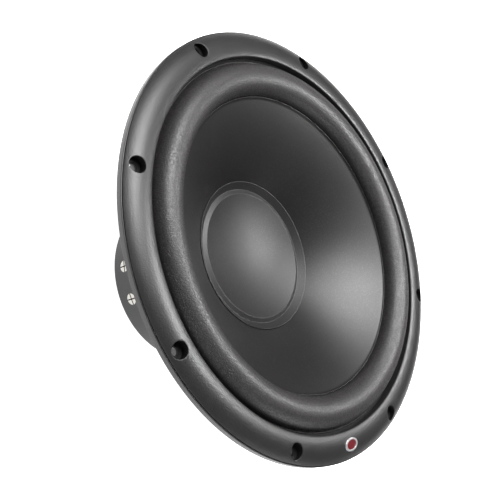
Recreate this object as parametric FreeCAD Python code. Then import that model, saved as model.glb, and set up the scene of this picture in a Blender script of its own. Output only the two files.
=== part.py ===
import FreeCAD, Part
import math
import os

# A 12-inch car subwoofer. Millimetres. +Z is the speaker's axis, towards the listener; Z = 0 is the mounting
# plane, the underside of the flange. Angles run from +X; the two terminal pairs are on +X and -X.

# ---- overall sizes
TRIM_RADIUS = 157.5  # outside of the trim ring
BOLT_CIRCLE_RADIUS = 148.75
BOLT_COUNT = 8
FIRST_BOLT_ANGLE = 22.5
MOUNTING_DEPTH = 124.0  # from the mounting plane to the rear of the motor boot
SPIGOT_RADIUS = 139.5  # basket just behind the flange: what the cut-out has to clear
MAGNET_RADIUS = 53.0
CONE_TRAVEL = 10.0  # each way

# ---- clearances
SOFT_GAP = 0.3  # between a soft piece and a piece of another body
RUNNING_GAP = 0.05  # radial, plunger in barrel
SLIP_GAP = 0.1  # between fixed pieces that drop into each other
BOOT_GAP = 0.2  # terminal block inside the boot
MOULDED_GAP = 0.02  # between a moulding and the metal it holds

# ---- flange, trim ring and its screw places
FLANGE_THICKNESS = 1.6
SKIRT_WIDTH = 2.1  # trim ring's skirt outside the flange edge
SKIRT_TOP = 4.7
SKIRT_SETBACK = 0.7  # the crown starts this far inside the skirt's face
CROWN_HEIGHT = 8.7  # at the bolt circle and at the inner lip
LIP_GAP = 2.9  # between the surround and the ring's inner lip
LIP_ROUND = 1.2
SCREW_HOLE_RADIUS = 2.75
COUNTERBORE_RADIUS = 5.5
COUNTERBORE_FLOOR = 3.6

# ---- surround
ROLL_RADIUS = 122.0  # circle that the half-roll follows
ROLL_SECTION = 12.1
FOAM_THICKNESS = 2.0
FOOT_THICKNESS = 1.6
FOOT_UNDER_RING = 6.0
INNER_LAP_WIDTH = 5.6

# ---- cone and dust cap
RIM_HEIGHT = 1.6
CONE_CURVE = math.radians(12.6)  # how much steeper the cone is at the dust cap than at its rim
SEAM_RADIUS = 56.5  # outer edge of the dust cap
NECK_ABOVE_SHELF = 5.55
CONE_THICKNESS = 0.9
COLLAR_LENGTH = 4.0
CAP_RIDGE_RADIUS = 47.7
CAP_RIDGE_DROP = 2.0  # below the seam
CAP_GROOVE_RADIUS = 51.1
CAP_DISH_DEPTH = 10.1
CAP_THICKNESS = 0.9

# ---- motor
POLE_GAP = 0.6
VENT_RADIUS = 12.0
FORMER_INNER_RADIUS = 25.4
FORMER_THICKNESS = 0.3
WINDING_THICKNESS = 1.0  # of each of the two windings
COIL_LENGTH = 25.0
FORMER_ABOVE_NECK = 4.85
COIL_TO_PLATE_GAP = 0.9
PLATE_SETBACK = 3.0  # plates inside the magnet's edge
PLATE_THICKNESS = 8.0
MAGNET_BORE_GAP = 2.4  # behind the top plate's bore
MAGNET_THICKNESS = 20.0
BOOT_WALL = 1.8
BOOT_REAR_WALL = 1.5
BOOT_ROOM = 15.0  # from the magnet to the front of the boot, outside
BOOT_DRAFT = 3.5
BOOT_CORNER = 3.0
MOTOR_SCREW_COUNT = 4
MOTOR_SCREW_CIRCLE = 41.0
MOTOR_SCREW_RADIUS = 2.5
MOTOR_SCREW_LENGTH = 6.0
MOTOR_HEAD_RADIUS = 4.2
MOTOR_HEAD_HEIGHT = 2.6
MOTOR_HEAD_CHAMFER = 0.9
DRIVE_SLOT_LENGTH = 4.4
DRIVE_SLOT_WIDTH = 1.0
DRIVE_SLOT_DEPTH = 1.4

# ---- basket
BASKET_WALL = 2.0
FLANGE_UNDER_ROLL = 0.6
SPIGOT_DEPTH = 13.0
ARM_COUNT = 8
ARM_WIDTH = 20.0
ARM_RIB_WIDTH = 7.0
ARM_RIB_HEIGHT = 4.0
SHELF_ABOVE_PLATE = 18.1
SHELF_OUTSIDE_BOOT = 13.0
SHELF_WIDTH = 7.5
VENT_SLOT_COUNT = 16
VENT_POST_WIDTH = 10.0
VENT_SLOT_MARGIN = 2.0
WINDOW_TOP_MARGIN = 8.5  # from the spigot's radius to the window
WINDOW_LOW_MARGIN = 8.0  # from the shelf's outside to the window
WINDOW_CORNER = 5.0
TAB_SLOT_GAP = 0.6

# ---- spider
SPIDER_THICKNESS = 0.6
SPIDER_WAVES = 4
SPIDER_WAVE_HEIGHT = 1.8
SPIDER_COLLAR_WIDTH = 3.0
SPIDER_FOOT_WIDTH = 6.0

# ---- terminals
TERMINAL_BELOW_PLATE = 10.3
TERMINAL_HALF_ANGLE = 9.35
BARREL_RADIUS = 4.25
PLUNGER_RADIUS = 3.05
PLUNGER_TRAVEL = 2.2
CAP_LENGTH = 2.0
CAP_STOP_GAP = 0.2
CAP_SLOT_DEPTH = 0.8
CAP_SLOT_WIDTH = 0.9
WIRE_HOLE_RADIUS = 1.3
WIRE_HOLE_INSET = 2.1  # from the barrel's mouth
BARREL_LENGTH = 13.2
BARREL_SETBACK = 3.7  # from the block's inner face
BARREL_FLOOR = 1.0
PLUNGER_LENGTH_INSIDE = 8.0
SPRING_WIRE = 0.5
BOOT_PORT_RADIUS = 5.6
BLOCK_WIDTH = 40.0
BLOCK_HEIGHT = 17.5
BLOCK_INNER_GAP = 1.3  # between block and magnet
TAB_THICKNESS = 0.8
TAB_WIDTH = 5.0
TAB_RISE = 5.5  # above the basket's bottom plate
TAB_EYE_INSET = 1.5
LEAD_RADIUS = 0.8
LEAD_FLOOR_GAP = 1.1  # between the lead and the basket floor with the cone fully in

# ---- badge
BADGE_RADIUS = 147.0
BADGE_HALF_LENGTH = 7.0
BADGE_HALF_WIDTH = 4.6
BADGE_DEPTH = 1.2
BADGE_PROUD = 0.6
INLAY_MARGIN = 1.1
INLAY_DEPTH = 0.8

# ---- worked out from the sizes above
LIP_RADIUS = ROLL_RADIUS + ROLL_SECTION + LIP_GAP
FOOT_OUTER_RADIUS = LIP_RADIUS + FOOT_UNDER_RING
FLANGE_INNER_RADIUS = ROLL_RADIUS + ROLL_SECTION - FLANGE_UNDER_ROLL
CONE_RADIUS = ROLL_RADIUS - ROLL_SECTION - SOFT_GAP
INNER_LAP_RADIUS = CONE_RADIUS - INNER_LAP_WIDTH
FORMER_OUTER_RADIUS = FORMER_INNER_RADIUS + FORMER_THICKNESS
POLE_RADIUS = FORMER_INNER_RADIUS - POLE_GAP
COIL_OUTER_RADIUS = FORMER_OUTER_RADIUS + 2 * WINDING_THICKNESS
PLATE_BORE_RADIUS = COIL_OUTER_RADIUS + COIL_TO_PLATE_GAP
PLATE_RADIUS = MAGNET_RADIUS - PLATE_SETBACK
MAGNET_INNER_RADIUS = PLATE_BORE_RADIUS + MAGNET_BORE_GAP
BOOT_FRONT_RADIUS = MAGNET_RADIUS + BOOT_ROOM
BOOT_REAR_RADIUS = BOOT_FRONT_RADIUS - BOOT_DRAFT
YOKE_REAR = -MOUNTING_DEPTH + BOOT_REAR_WALL
PLATE_FRONT = YOKE_REAR + PLATE_THICKNESS + MAGNET_THICKNESS + PLATE_THICKNESS
FLOOR_TOP = PLATE_FRONT + BASKET_WALL  # top of the basket's bottom plate
SHELF_HEIGHT = PLATE_FRONT + SHELF_ABOVE_PLATE
SHELF_OUTER_RADIUS = BOOT_FRONT_RADIUS + SHELF_OUTSIDE_BOOT
SHELF_INNER_RADIUS = SHELF_OUTER_RADIUS - SHELF_WIDTH
SPIDER_HEIGHT = SHELF_HEIGHT + SPIDER_THICKNESS / 2
NECK_HEIGHT = SHELF_HEIGHT + NECK_ABOVE_SHELF
COIL_REAR = PLATE_FRONT - PLATE_THICKNESS / 2 - COIL_LENGTH / 2
FORMER_FRONT = NECK_HEIGHT + FORMER_ABOVE_NECK
TERMINAL_HEIGHT = PLATE_FRONT - TERMINAL_BELOW_PLATE
BARREL_INNER_END = MAGNET_RADIUS + BLOCK_INNER_GAP + BARREL_SETBACK
BARREL_MOUTH = BARREL_INNER_END + BARREL_LENGTH
TERMINAL_TIP_RADIUS = BARREL_MOUTH + PLUNGER_TRAVEL + CAP_STOP_GAP + CAP_LENGTH
LEAD_ENTRY_HEIGHT = FLOOR_TOP + CONE_TRAVEL + LEAD_RADIUS + LEAD_FLOOR_GAP
AXIS = FreeCAD.Vector(0, 0, 1)
ORIGIN = FreeCAD.Vector(0, 0, 0)

pieces = {}


def circle_angles(count, first=0.0):
    return [first + 360.0 * i / count for i in range(count)]


def turned(start, *steps):
    """Solid of revolution about Z. A step (r, z) is a straight edge; (via r, via z, r, z) is an arc."""
    here = FreeCAD.Vector(start[0], 0, start[1])
    edges = []
    for step in steps + (start,):
        there = FreeCAD.Vector(step[-2], 0, step[-1])
        if there.distanceToPoint(here) < 1e-6:
            continue
        if len(step) == 4:
            edges.append(Part.Arc(here, FreeCAD.Vector(step[0], 0, step[1]), there).toShape())
        else:
            edges.append(Part.LineSegment(here, there).toShape())
        here = there
    return Part.Face(Part.Wire(edges)).revolve(ORIGIN, AXIS, 360)


def ring(inner, outer, low, high):
    """Plain ring, or a disc where inner is 0."""
    return turned((inner, low), (outer, low), (outer, high), (inner, high))


def spun(shape, angle):
    """Copy of the shape turned about Z by an angle in degrees."""
    copy = shape.copy()
    copy.rotate(ORIGIN, AXIS, angle)
    return copy


def spaced(shape, angles):
    """Copies of the shape at each angle, as separate solids."""
    return Part.makeCompound([spun(shape, angle) for angle in angles])


def radial_rod(radius, inner, outer, height):
    """Cylinder along +X between two distances from the axis."""
    return Part.makeCylinder(radius, outer - inner, FreeCAD.Vector(inner, 0, height), FreeCAD.Vector(1, 0, 0))


def block(x0, x1, half_width, z0, z1):
    return Part.makeBox(x1 - x0, 2 * half_width, z1 - z0, FreeCAD.Vector(x0, -half_width, z0))


# ---- curves that several pieces share


def rim_slope():
    """Slope of the cone at its rim, found by halving, that brings the front surface down to the neck."""
    low, high = 0.0, math.radians(70)
    for _ in range(50):
        slope = (low + high) / 2
        drop = (CONE_RADIUS - SEAM_RADIUS) * math.tan(slope + CONE_CURVE / 2)
        drop += (SEAM_RADIUS - FORMER_OUTER_RADIUS) * math.tan(slope + CONE_CURVE)
        low, high = (slope, high) if drop < RIM_HEIGHT - NECK_HEIGHT else (low, slope)
    return slope


# the cone's front is an arc from the rim to the dust-cap seam, then runs straight on to the neck
RIM_SLOPE = rim_slope()
SEAM_SLOPE = math.tan(RIM_SLOPE + CONE_CURVE)
SEAM_HEIGHT = RIM_HEIGHT - (CONE_RADIUS - SEAM_RADIUS) * math.tan(RIM_SLOPE + CONE_CURVE / 2)
CAP_RIDGE_HEIGHT = SEAM_HEIGHT - CAP_RIDGE_DROP
CONE_ARC_CHORD = math.hypot(RIM_HEIGHT - SEAM_HEIGHT, CONE_RADIUS - SEAM_RADIUS)
CONE_ARC_RADIUS = CONE_ARC_CHORD / (2 * math.sin(CONE_CURVE / 2))
CONE_ARC_R = CONE_RADIUS + CONE_ARC_RADIUS * math.sin(RIM_SLOPE)
CONE_ARC_Z = RIM_HEIGHT - CONE_ARC_RADIUS * math.cos(RIM_SLOPE)


def cone_front(radius):
    """Height of the cone's front surface; inside the seam it runs straight to the neck."""
    if radius < SEAM_RADIUS:
        return SEAM_HEIGHT - (SEAM_RADIUS - radius) * SEAM_SLOPE
    return CONE_ARC_Z + math.sqrt(CONE_ARC_RADIUS**2 - (CONE_ARC_R - radius) ** 2)


# the trim ring's crown is level at the bolt circle and the lip, and falls to the skirt
CROWN_MIDDLE = (BOLT_CIRCLE_RADIUS + LIP_RADIUS) / 2
_edge = TRIM_RADIUS - SKIRT_SETBACK
_half_level = (BOLT_CIRCLE_RADIUS - LIP_RADIUS) / 2
_fall = CROWN_HEIGHT - SKIRT_TOP
CROWN_ARC_Z = (CROWN_HEIGHT**2 + _half_level**2 - SKIRT_TOP**2 - (_edge - CROWN_MIDDLE) ** 2) / (2 * _fall)
CROWN_ARC_RADIUS = math.hypot(_half_level, CROWN_HEIGHT - CROWN_ARC_Z)


def crown(radius):
    """Height of the trim ring's top surface."""
    return CROWN_ARC_Z + math.sqrt(CROWN_ARC_RADIUS**2 - (radius - CROWN_MIDDLE) ** 2)


# ---- badge: an oval plate let into the crown, level with it

BADGE_TILT = math.degrees(math.asin((BADGE_RADIUS - CROWN_MIDDLE) / CROWN_ARC_RADIUS))


def on_crown(shape):
    """Moves a shape made about the origin, Z = 0 at the surface, to the badge's place on -Y."""
    shape.rotate(ORIGIN, FreeCAD.Vector(1, 0, 0), BADGE_TILT)
    shape.translate(FreeCAD.Vector(0, -BADGE_RADIUS, crown(BADGE_RADIUS)))
    return shape


def oval(margin, low, high):
    """Oval plate, smaller than the badge by a margin all round."""
    oval_edge = Part.Ellipse(ORIGIN, BADGE_HALF_LENGTH - margin, BADGE_HALF_WIDTH - margin).toShape()
    plate = Part.Face(Part.Wire(oval_edge)).extrude(FreeCAD.Vector(0, 0, high - low))
    plate.translate(FreeCAD.Vector(0, 0, low))
    return plate


def make_badge():
    bezel = oval(0, -BADGE_DEPTH, BADGE_PROUD)
    bezel = bezel.cut(oval(INLAY_MARGIN, BADGE_PROUD - INLAY_DEPTH, BADGE_PROUD + 1))
    inlay = oval(INLAY_MARGIN, BADGE_PROUD - INLAY_DEPTH, BADGE_PROUD - 0.1)
    pieces["badge_bezel"] = on_crown(bezel)
    pieces["badge_inlay"] = on_crown(inlay)


# ---- trim ring


def make_trim_ring():
    flange_edge = TRIM_RADIUS - SKIRT_WIDTH
    foot_top = FLANGE_THICKNESS + FOOT_THICKNESS
    round_start = LIP_RADIUS + LIP_ROUND
    round_mid = LIP_ROUND * (1 - math.sqrt(0.5))
    body = turned(
        (LIP_RADIUS, foot_top),
        (FOOT_OUTER_RADIUS + SLIP_GAP, foot_top),
        (FOOT_OUTER_RADIUS + SLIP_GAP, FLANGE_THICKNESS),
        (flange_edge + SLIP_GAP, FLANGE_THICKNESS),
        (flange_edge + SLIP_GAP, 0),
        (TRIM_RADIUS, 0),
        (TRIM_RADIUS, SKIRT_TOP - SKIRT_SETBACK),
        (TRIM_RADIUS - SKIRT_SETBACK, SKIRT_TOP),
        (BOLT_CIRCLE_RADIUS, crown(BOLT_CIRCLE_RADIUS), round_start, crown(round_start)),
        (LIP_RADIUS + round_mid, crown(round_start) - round_mid, LIP_RADIUS, crown(round_start) - LIP_ROUND),
    )
    above = crown(CROWN_MIDDLE) + 1
    screw = ring(0, SCREW_HOLE_RADIUS, -1, above).fuse(ring(0, COUNTERBORE_RADIUS, COUNTERBORE_FLOOR, above))
    screw.translate(FreeCAD.Vector(BOLT_CIRCLE_RADIUS, 0, 0))
    body = body.cut(spaced(screw, circle_angles(BOLT_COUNT, FIRST_BOLT_ANGLE)))
    pieces["trim_ring"] = body.cut(on_crown(oval(-SLIP_GAP, -BADGE_DEPTH, BADGE_PROUD + 1)))


# ---- basket


def make_basket():
    flange_edge = TRIM_RADIUS - SKIRT_WIDTH
    spigot_inner = SPIGOT_RADIUS - BASKET_WALL
    arm_top = (SPIGOT_RADIUS, -SPIGOT_DEPTH)
    arm_low = (SHELF_OUTER_RADIUS + 2 * BASKET_WALL, SHELF_HEIGHT)
    slant = BASKET_WALL * math.sqrt(2)  # wall thickness measured across a 45 degree slope
    body = turned(
        (FLANGE_INNER_RADIUS, 0),
        (FLANGE_INNER_RADIUS, FLANGE_THICKNESS),
        (flange_edge, FLANGE_THICKNESS),
        (flange_edge, 0),
        (SPIGOT_RADIUS, 0),
        arm_top,
        arm_low,
        (SHELF_OUTER_RADIUS + BASKET_WALL, SHELF_HEIGHT - BASKET_WALL),
        (BOOT_FRONT_RADIUS + 1, PLATE_FRONT),
        (PLATE_BORE_RADIUS + 1, PLATE_FRONT),
        (PLATE_BORE_RADIUS + 1, FLOOR_TOP),
        (BOOT_FRONT_RADIUS - 1, FLOOR_TOP),
        (SHELF_OUTER_RADIUS, SHELF_HEIGHT - BASKET_WALL),
        (SHELF_INNER_RADIUS, SHELF_HEIGHT - BASKET_WALL),
        (SHELF_INNER_RADIUS, SHELF_HEIGHT),
        (arm_low[0] - slant, SHELF_HEIGHT),
        (spigot_inner, arm_top[1] + BASKET_WALL - slant / 2),
        (spigot_inner, 0),
    )
    arm_angles = circle_angles(ARM_COUNT, FIRST_BOLT_ANGLE)

    # rib down the back of each arm, growing from nothing at the spigot
    rib = turned(arm_top, arm_low, (arm_low[0] + ARM_RIB_HEIGHT, arm_low[1]))
    rib = rib.common(block(0, SPIGOT_RADIUS, ARM_RIB_WIDTH / 2, SHELF_HEIGHT, 0))
    for angle in arm_angles:
        body = body.fuse(spun(rib, angle))

    # windows between the arms
    window = ring(SHELF_OUTER_RADIUS + BASKET_WALL + WINDOW_LOW_MARGIN, SPIGOT_RADIUS - WINDOW_TOP_MARGIN,
                  SHELF_HEIGHT + BASKET_WALL, -SPIGOT_DEPTH)
    for angle in arm_angles:
        window = window.cut(spun(block(0, SPIGOT_RADIUS, ARM_WIDTH / 2, SHELF_HEIGHT, 0), angle))
    upright = [e for e in window.Edges if abs(e.BoundBox.ZLength - window.BoundBox.ZLength) < 0.01
               and e.BoundBox.DiagonalLength < window.BoundBox.ZLength + 0.01]
    body = body.cut(window.makeFillet(WINDOW_CORNER, upright))

    # slots in the wall below the spider
    slot = ring(PLATE_RADIUS, SPIGOT_RADIUS, FLOOR_TOP + VENT_SLOT_MARGIN,
                SHELF_HEIGHT - BASKET_WALL - VENT_SLOT_MARGIN)
    for angle in circle_angles(VENT_SLOT_COUNT, FIRST_BOLT_ANGLE / 2):
        slot = slot.cut(spun(block(0, SPIGOT_RADIUS, VENT_POST_WIDTH / 2, PLATE_FRONT, SHELF_HEIGHT), angle))
    body = body.cut(slot)

    # flange screws, motor screws and the slots that the terminal tabs come up through
    flange_hole = ring(0, SCREW_HOLE_RADIUS, -1, FLANGE_THICKNESS + 1)
    flange_hole.translate(FreeCAD.Vector(BOLT_CIRCLE_RADIUS, 0, 0))
    body = body.cut(spaced(flange_hole, circle_angles(BOLT_COUNT, FIRST_BOLT_ANGLE)))
    motor_hole = ring(0, MOTOR_SCREW_RADIUS, PLATE_FRONT - 1, FLOOR_TOP + 1)
    motor_hole.translate(FreeCAD.Vector(MOTOR_SCREW_CIRCLE, 0, 0))
    body = body.cut(spaced(motor_hole, circle_angles(MOTOR_SCREW_COUNT, 45)))
    tab_slot = block(BARREL_INNER_END - TAB_THICKNESS - TAB_SLOT_GAP, BARREL_INNER_END + TAB_SLOT_GAP,
                     TAB_WIDTH / 2 + TAB_SLOT_GAP, PLATE_FRONT - 1, FLOOR_TOP + 1)
    pieces["basket"] = body.cut(spaced(tab_slot, [angle for _, angle in terminals()]))


# ---- surround, cone and dust cap


def make_surround():
    top = FLANGE_THICKNESS + FOOT_THICKNESS
    inner_section = ROLL_SECTION - FOAM_THICKNESS
    foot_r = ROLL_RADIUS + math.sqrt(ROLL_SECTION**2 - FOOT_THICKNESS**2)
    roll_in, roll_out = ROLL_RADIUS - ROLL_SECTION, ROLL_RADIUS + ROLL_SECTION
    lap_in = INNER_LAP_RADIUS
    under = CONE_THICKNESS / math.cos(RIM_SLOPE) + SOFT_GAP / math.cos(RIM_SLOPE)
    lap = FOOT_THICKNESS / math.cos(RIM_SLOPE)
    base = FLANGE_THICKNESS
    pieces["surround"] = turned(
        (FOOT_OUTER_RADIUS, base),
        (FOOT_OUTER_RADIUS, top),
        (foot_r, top),
        (ROLL_RADIUS, base + ROLL_SECTION, roll_in, base),
        (roll_in, cone_front(CONE_RADIUS) - under),
        (lap_in, cone_front(lap_in) - under),
        (lap_in, cone_front(lap_in) - under - lap),
        (roll_in + FOAM_THICKNESS, cone_front(CONE_RADIUS) - under - lap),
        (roll_in + FOAM_THICKNESS, base),
        (ROLL_RADIUS, base + inner_section, roll_out - FOAM_THICKNESS, base),
    )


def make_cone():
    middle = (CONE_RADIUS + SEAM_RADIUS) / 2
    down = CONE_THICKNESS / math.cos(RIM_SLOPE)
    neck = FORMER_OUTER_RADIUS
    collar = neck + CONE_THICKNESS
    seam_back = SEAM_HEIGHT - down
    pieces["cone"] = turned(
        (CONE_RADIUS, RIM_HEIGHT),
        (middle, cone_front(middle), SEAM_RADIUS, SEAM_HEIGHT),
        (neck, cone_front(neck)),
        (neck, cone_front(neck) - COLLAR_LENGTH),
        (collar, cone_front(neck) - COLLAR_LENGTH),
        (collar, cone_front(collar) - down),
        (SEAM_RADIUS, seam_back),
        (middle, cone_front(middle) - down, CONE_RADIUS, RIM_HEIGHT - down),
    )


def make_dust_cap():
    """Inverted dome: a spherical dish inside a raised ridge, and a foot that lies on the cone."""
    rise = CAP_THICKNESS / math.cos(math.atan(SEAM_SLOPE))
    groove = cone_front(CAP_GROOVE_RADIUS)
    centre = CAP_RIDGE_HEIGHT - CAP_DISH_DEPTH
    dish_radius = (CAP_RIDGE_RADIUS**2 + CAP_DISH_DEPTH**2) / (2 * CAP_DISH_DEPTH)
    hollow = Part.makeSphere(dish_radius, FreeCAD.Vector(0, 0, centre + dish_radius))
    outside = Part.makeSphere(dish_radius, FreeCAD.Vector(0, 0, centre + dish_radius - CAP_THICKNESS))
    disc = ring(0, CAP_RIDGE_RADIUS, centre - CAP_THICKNESS - 1, CAP_RIDGE_HEIGHT)
    foot = turned(
        (CAP_RIDGE_RADIUS, CAP_RIDGE_HEIGHT),
        (CAP_GROOVE_RADIUS, groove + rise),
        (SEAM_RADIUS, SEAM_HEIGHT + rise),
        (SEAM_RADIUS, SEAM_HEIGHT),
        (CAP_GROOVE_RADIUS, groove),
        (CAP_RIDGE_RADIUS, CAP_RIDGE_HEIGHT - rise),
    )
    pieces["dust_cap"] = disc.common(outside).cut(hollow).fuse(foot)


# ---- voice coil and spider


def make_voice_coil():
    pieces["voice_coil_former"] = ring(FORMER_INNER_RADIUS, FORMER_OUTER_RADIUS, COIL_REAR, FORMER_FRONT)
    for name, layer in (("inner", 0), ("outer", 1)):
        inner = FORMER_OUTER_RADIUS + layer * WINDING_THICKNESS
        pieces[f"voice_coil_{name}_winding"] = ring(
            inner, inner + WINDING_THICKNESS, COIL_REAR, COIL_REAR + COIL_LENGTH)


def make_spider():
    """Corrugated disc: each wave is one arc up and one arc down."""
    inner = FORMER_OUTER_RADIUS + SOFT_GAP
    wave_start = inner + SPIDER_COLLAR_WIDTH
    wave_end = SHELF_INNER_RADIUS - SOFT_GAP
    outer = wave_end + SPIDER_FOOT_WIDTH
    half_wave = (wave_end - wave_start) / (2 * SPIDER_WAVES)
    half_thick = SPIDER_THICKNESS / 2

    def arcs(offset, outward):
        order = range(2 * SPIDER_WAVES) if outward else reversed(range(2 * SPIDER_WAVES))
        for i in order:
            near = wave_start + i * half_wave
            sign = 1 if i % 2 == 0 else -1
            via = (near + half_wave / 2, SPIDER_HEIGHT + sign * SPIDER_WAVE_HEIGHT + offset)
            end = near + half_wave if outward else near
            yield (*via, end, SPIDER_HEIGHT + offset)

    pieces["spider"] = turned(
        (inner, SPIDER_HEIGHT + half_thick),
        (wave_start, SPIDER_HEIGHT + half_thick),
        *arcs(half_thick, True),
        (outer, SPIDER_HEIGHT + half_thick),
        (outer, SPIDER_HEIGHT - half_thick),
        (wave_end, SPIDER_HEIGHT - half_thick),
        *arcs(-half_thick, False),
        (inner, SPIDER_HEIGHT - half_thick),
    )


# ---- motor


def make_motor():
    yoke_front = YOKE_REAR + PLATE_THICKNESS
    magnet_front = yoke_front + MAGNET_THICKNESS
    pieces["yoke"] = turned(
        (VENT_RADIUS, YOKE_REAR),
        (PLATE_RADIUS, YOKE_REAR),
        (PLATE_RADIUS, yoke_front),
        (POLE_RADIUS, yoke_front),
        (POLE_RADIUS, PLATE_FRONT),
        (VENT_RADIUS, PLATE_FRONT),
    )
    pieces["ferrite_magnet"] = ring(MAGNET_INNER_RADIUS, MAGNET_RADIUS, yoke_front, magnet_front)
    thread = ring(0, MOTOR_SCREW_RADIUS, FLOOR_TOP - MOTOR_SCREW_LENGTH, PLATE_FRONT + 1)
    thread.translate(FreeCAD.Vector(MOTOR_SCREW_CIRCLE, 0, 0))
    screw_angles = circle_angles(MOTOR_SCREW_COUNT, 45)
    top_plate = ring(PLATE_BORE_RADIUS, PLATE_RADIUS, magnet_front, PLATE_FRONT)
    pieces["top_plate"] = top_plate.cut(spaced(thread, screw_angles))

    head_top = FLOOR_TOP + MOTOR_HEAD_HEIGHT
    screw = turned(
        (0, FLOOR_TOP - MOTOR_SCREW_LENGTH),
        (MOTOR_SCREW_RADIUS, FLOOR_TOP - MOTOR_SCREW_LENGTH),
        (MOTOR_SCREW_RADIUS, FLOOR_TOP),
        (MOTOR_HEAD_RADIUS, FLOOR_TOP),
        (MOTOR_HEAD_RADIUS, head_top - MOTOR_HEAD_CHAMFER),
        (MOTOR_HEAD_RADIUS - MOTOR_HEAD_CHAMFER, head_top),
        (0, head_top),
    )
    for turn in (0, 90):
        slot = block(-DRIVE_SLOT_LENGTH / 2, DRIVE_SLOT_LENGTH / 2, DRIVE_SLOT_WIDTH / 2,
                     head_top - DRIVE_SLOT_DEPTH, head_top + 1)
        screw = screw.cut(spun(slot, turn))
    screw.translate(FreeCAD.Vector(MOTOR_SCREW_CIRCLE, 0, 0))
    pieces["motor_screws"] = spaced(screw, screw_angles)


def boot_radius(height, inset=0.0):
    """Outside of the drafted boot at a height, less an inset."""
    share = (height + MOUNTING_DEPTH) / (PLATE_FRONT + MOUNTING_DEPTH)
    return BOOT_REAR_RADIUS + share * (BOOT_FRONT_RADIUS - BOOT_REAR_RADIUS) - inset


def make_motor_boot():
    rear, front = -MOUNTING_DEPTH, PLATE_FRONT
    corner_mid = BOOT_CORNER * (1 - math.sqrt(0.5))
    body = turned(
        (VENT_RADIUS + 2, rear),
        (BOOT_REAR_RADIUS - BOOT_CORNER, rear),
        (BOOT_REAR_RADIUS - corner_mid, rear + corner_mid, BOOT_REAR_RADIUS, rear + BOOT_CORNER),
        (BOOT_FRONT_RADIUS, front),
        (BOOT_FRONT_RADIUS - BOOT_WALL, front),
        (BOOT_REAR_RADIUS - BOOT_WALL, rear + BOOT_CORNER),
        (BOOT_REAR_RADIUS - BOOT_CORNER, rear + BOOT_REAR_WALL),
        (VENT_RADIUS + 2, rear + BOOT_REAR_WALL),
    )
    port = radial_rod(BOOT_PORT_RADIUS, PLATE_RADIUS, SPIGOT_RADIUS, TERMINAL_HEIGHT)
    pieces["motor_boot"] = body.cut(spaced(port, [angle for _, angle in terminals()]))


# ---- push terminals: two blocks, each with two barrels, plungers, springs and tabs


def terminals():
    """Name and angle of each terminal."""
    return [
        (f"{side}_{place}", middle + sign * TERMINAL_HALF_ANGLE)
        for side, middle in (("left", 180.0), ("right", 0.0))
        for place, sign in (("upper", -1 if side == "left" else 1), ("lower", 1 if side == "left" else -1))
    ]


def make_barrel():
    barrel = radial_rod(BARREL_RADIUS, BARREL_INNER_END, BARREL_MOUTH, TERMINAL_HEIGHT)
    floor = BARREL_INNER_END + BARREL_FLOOR
    bore = radial_rod(PLUNGER_RADIUS + RUNNING_GAP, floor, BARREL_MOUTH, TERMINAL_HEIGHT)
    return barrel.cut(bore).cut(wire_hole(BARREL_MOUTH - WIRE_HOLE_INSET))


def wire_hole(distance):
    """Hole across a terminal, along Z, at a distance from the speaker's axis."""
    low = FreeCAD.Vector(distance, 0, TERMINAL_HEIGHT - 2 * BARREL_RADIUS)
    return Part.makeCylinder(WIRE_HOLE_RADIUS, 4 * BARREL_RADIUS, low)


def make_plunger():
    cap_inner = TERMINAL_TIP_RADIUS - CAP_LENGTH
    rod = radial_rod(PLUNGER_RADIUS, BARREL_MOUTH - PLUNGER_LENGTH_INSIDE, cap_inner, TERMINAL_HEIGHT)
    plunger = rod.fuse(radial_rod(BARREL_RADIUS, cap_inner, TERMINAL_TIP_RADIUS, TERMINAL_HEIGHT))
    plunger = plunger.cut(wire_hole(BARREL_MOUTH - WIRE_HOLE_INSET + PLUNGER_TRAVEL))
    slot_floor, slot_half = TERMINAL_TIP_RADIUS - CAP_SLOT_DEPTH, CAP_SLOT_WIDTH / 2
    for half_width, half_height in ((BARREL_RADIUS, slot_half), (slot_half, BARREL_RADIUS)):
        plunger = plunger.cut(block(slot_floor, TERMINAL_TIP_RADIUS + 1, half_width,
                                    TERMINAL_HEIGHT - half_height, TERMINAL_HEIGHT + half_height))
    return plunger


def make_spring():
    """Closed tube that holds the coil spring behind a plunger."""
    low = BARREL_INNER_END + BARREL_FLOOR + SOFT_GAP
    high = BARREL_MOUTH - PLUNGER_LENGTH_INSIDE - SOFT_GAP
    outer = PLUNGER_RADIUS - SOFT_GAP
    tube = radial_rod(outer, low, high, TERMINAL_HEIGHT)
    return tube.cut(radial_rod(outer - SPRING_WIRE, low - 1, high + 1, TERMINAL_HEIGHT))


def make_tab():
    outer = BARREL_INNER_END
    low, high = TERMINAL_HEIGHT - TAB_WIDTH / 2, FLOOR_TOP + TAB_RISE
    tab = block(outer - TAB_THICKNESS, outer, TAB_WIDTH / 2, low, high)
    eye = radial_rod(LEAD_RADIUS, outer - TAB_THICKNESS - 1, outer + 1, FLOOR_TOP + TAB_RISE - TAB_EYE_INSET)
    return tab.cut(eye)


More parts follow.
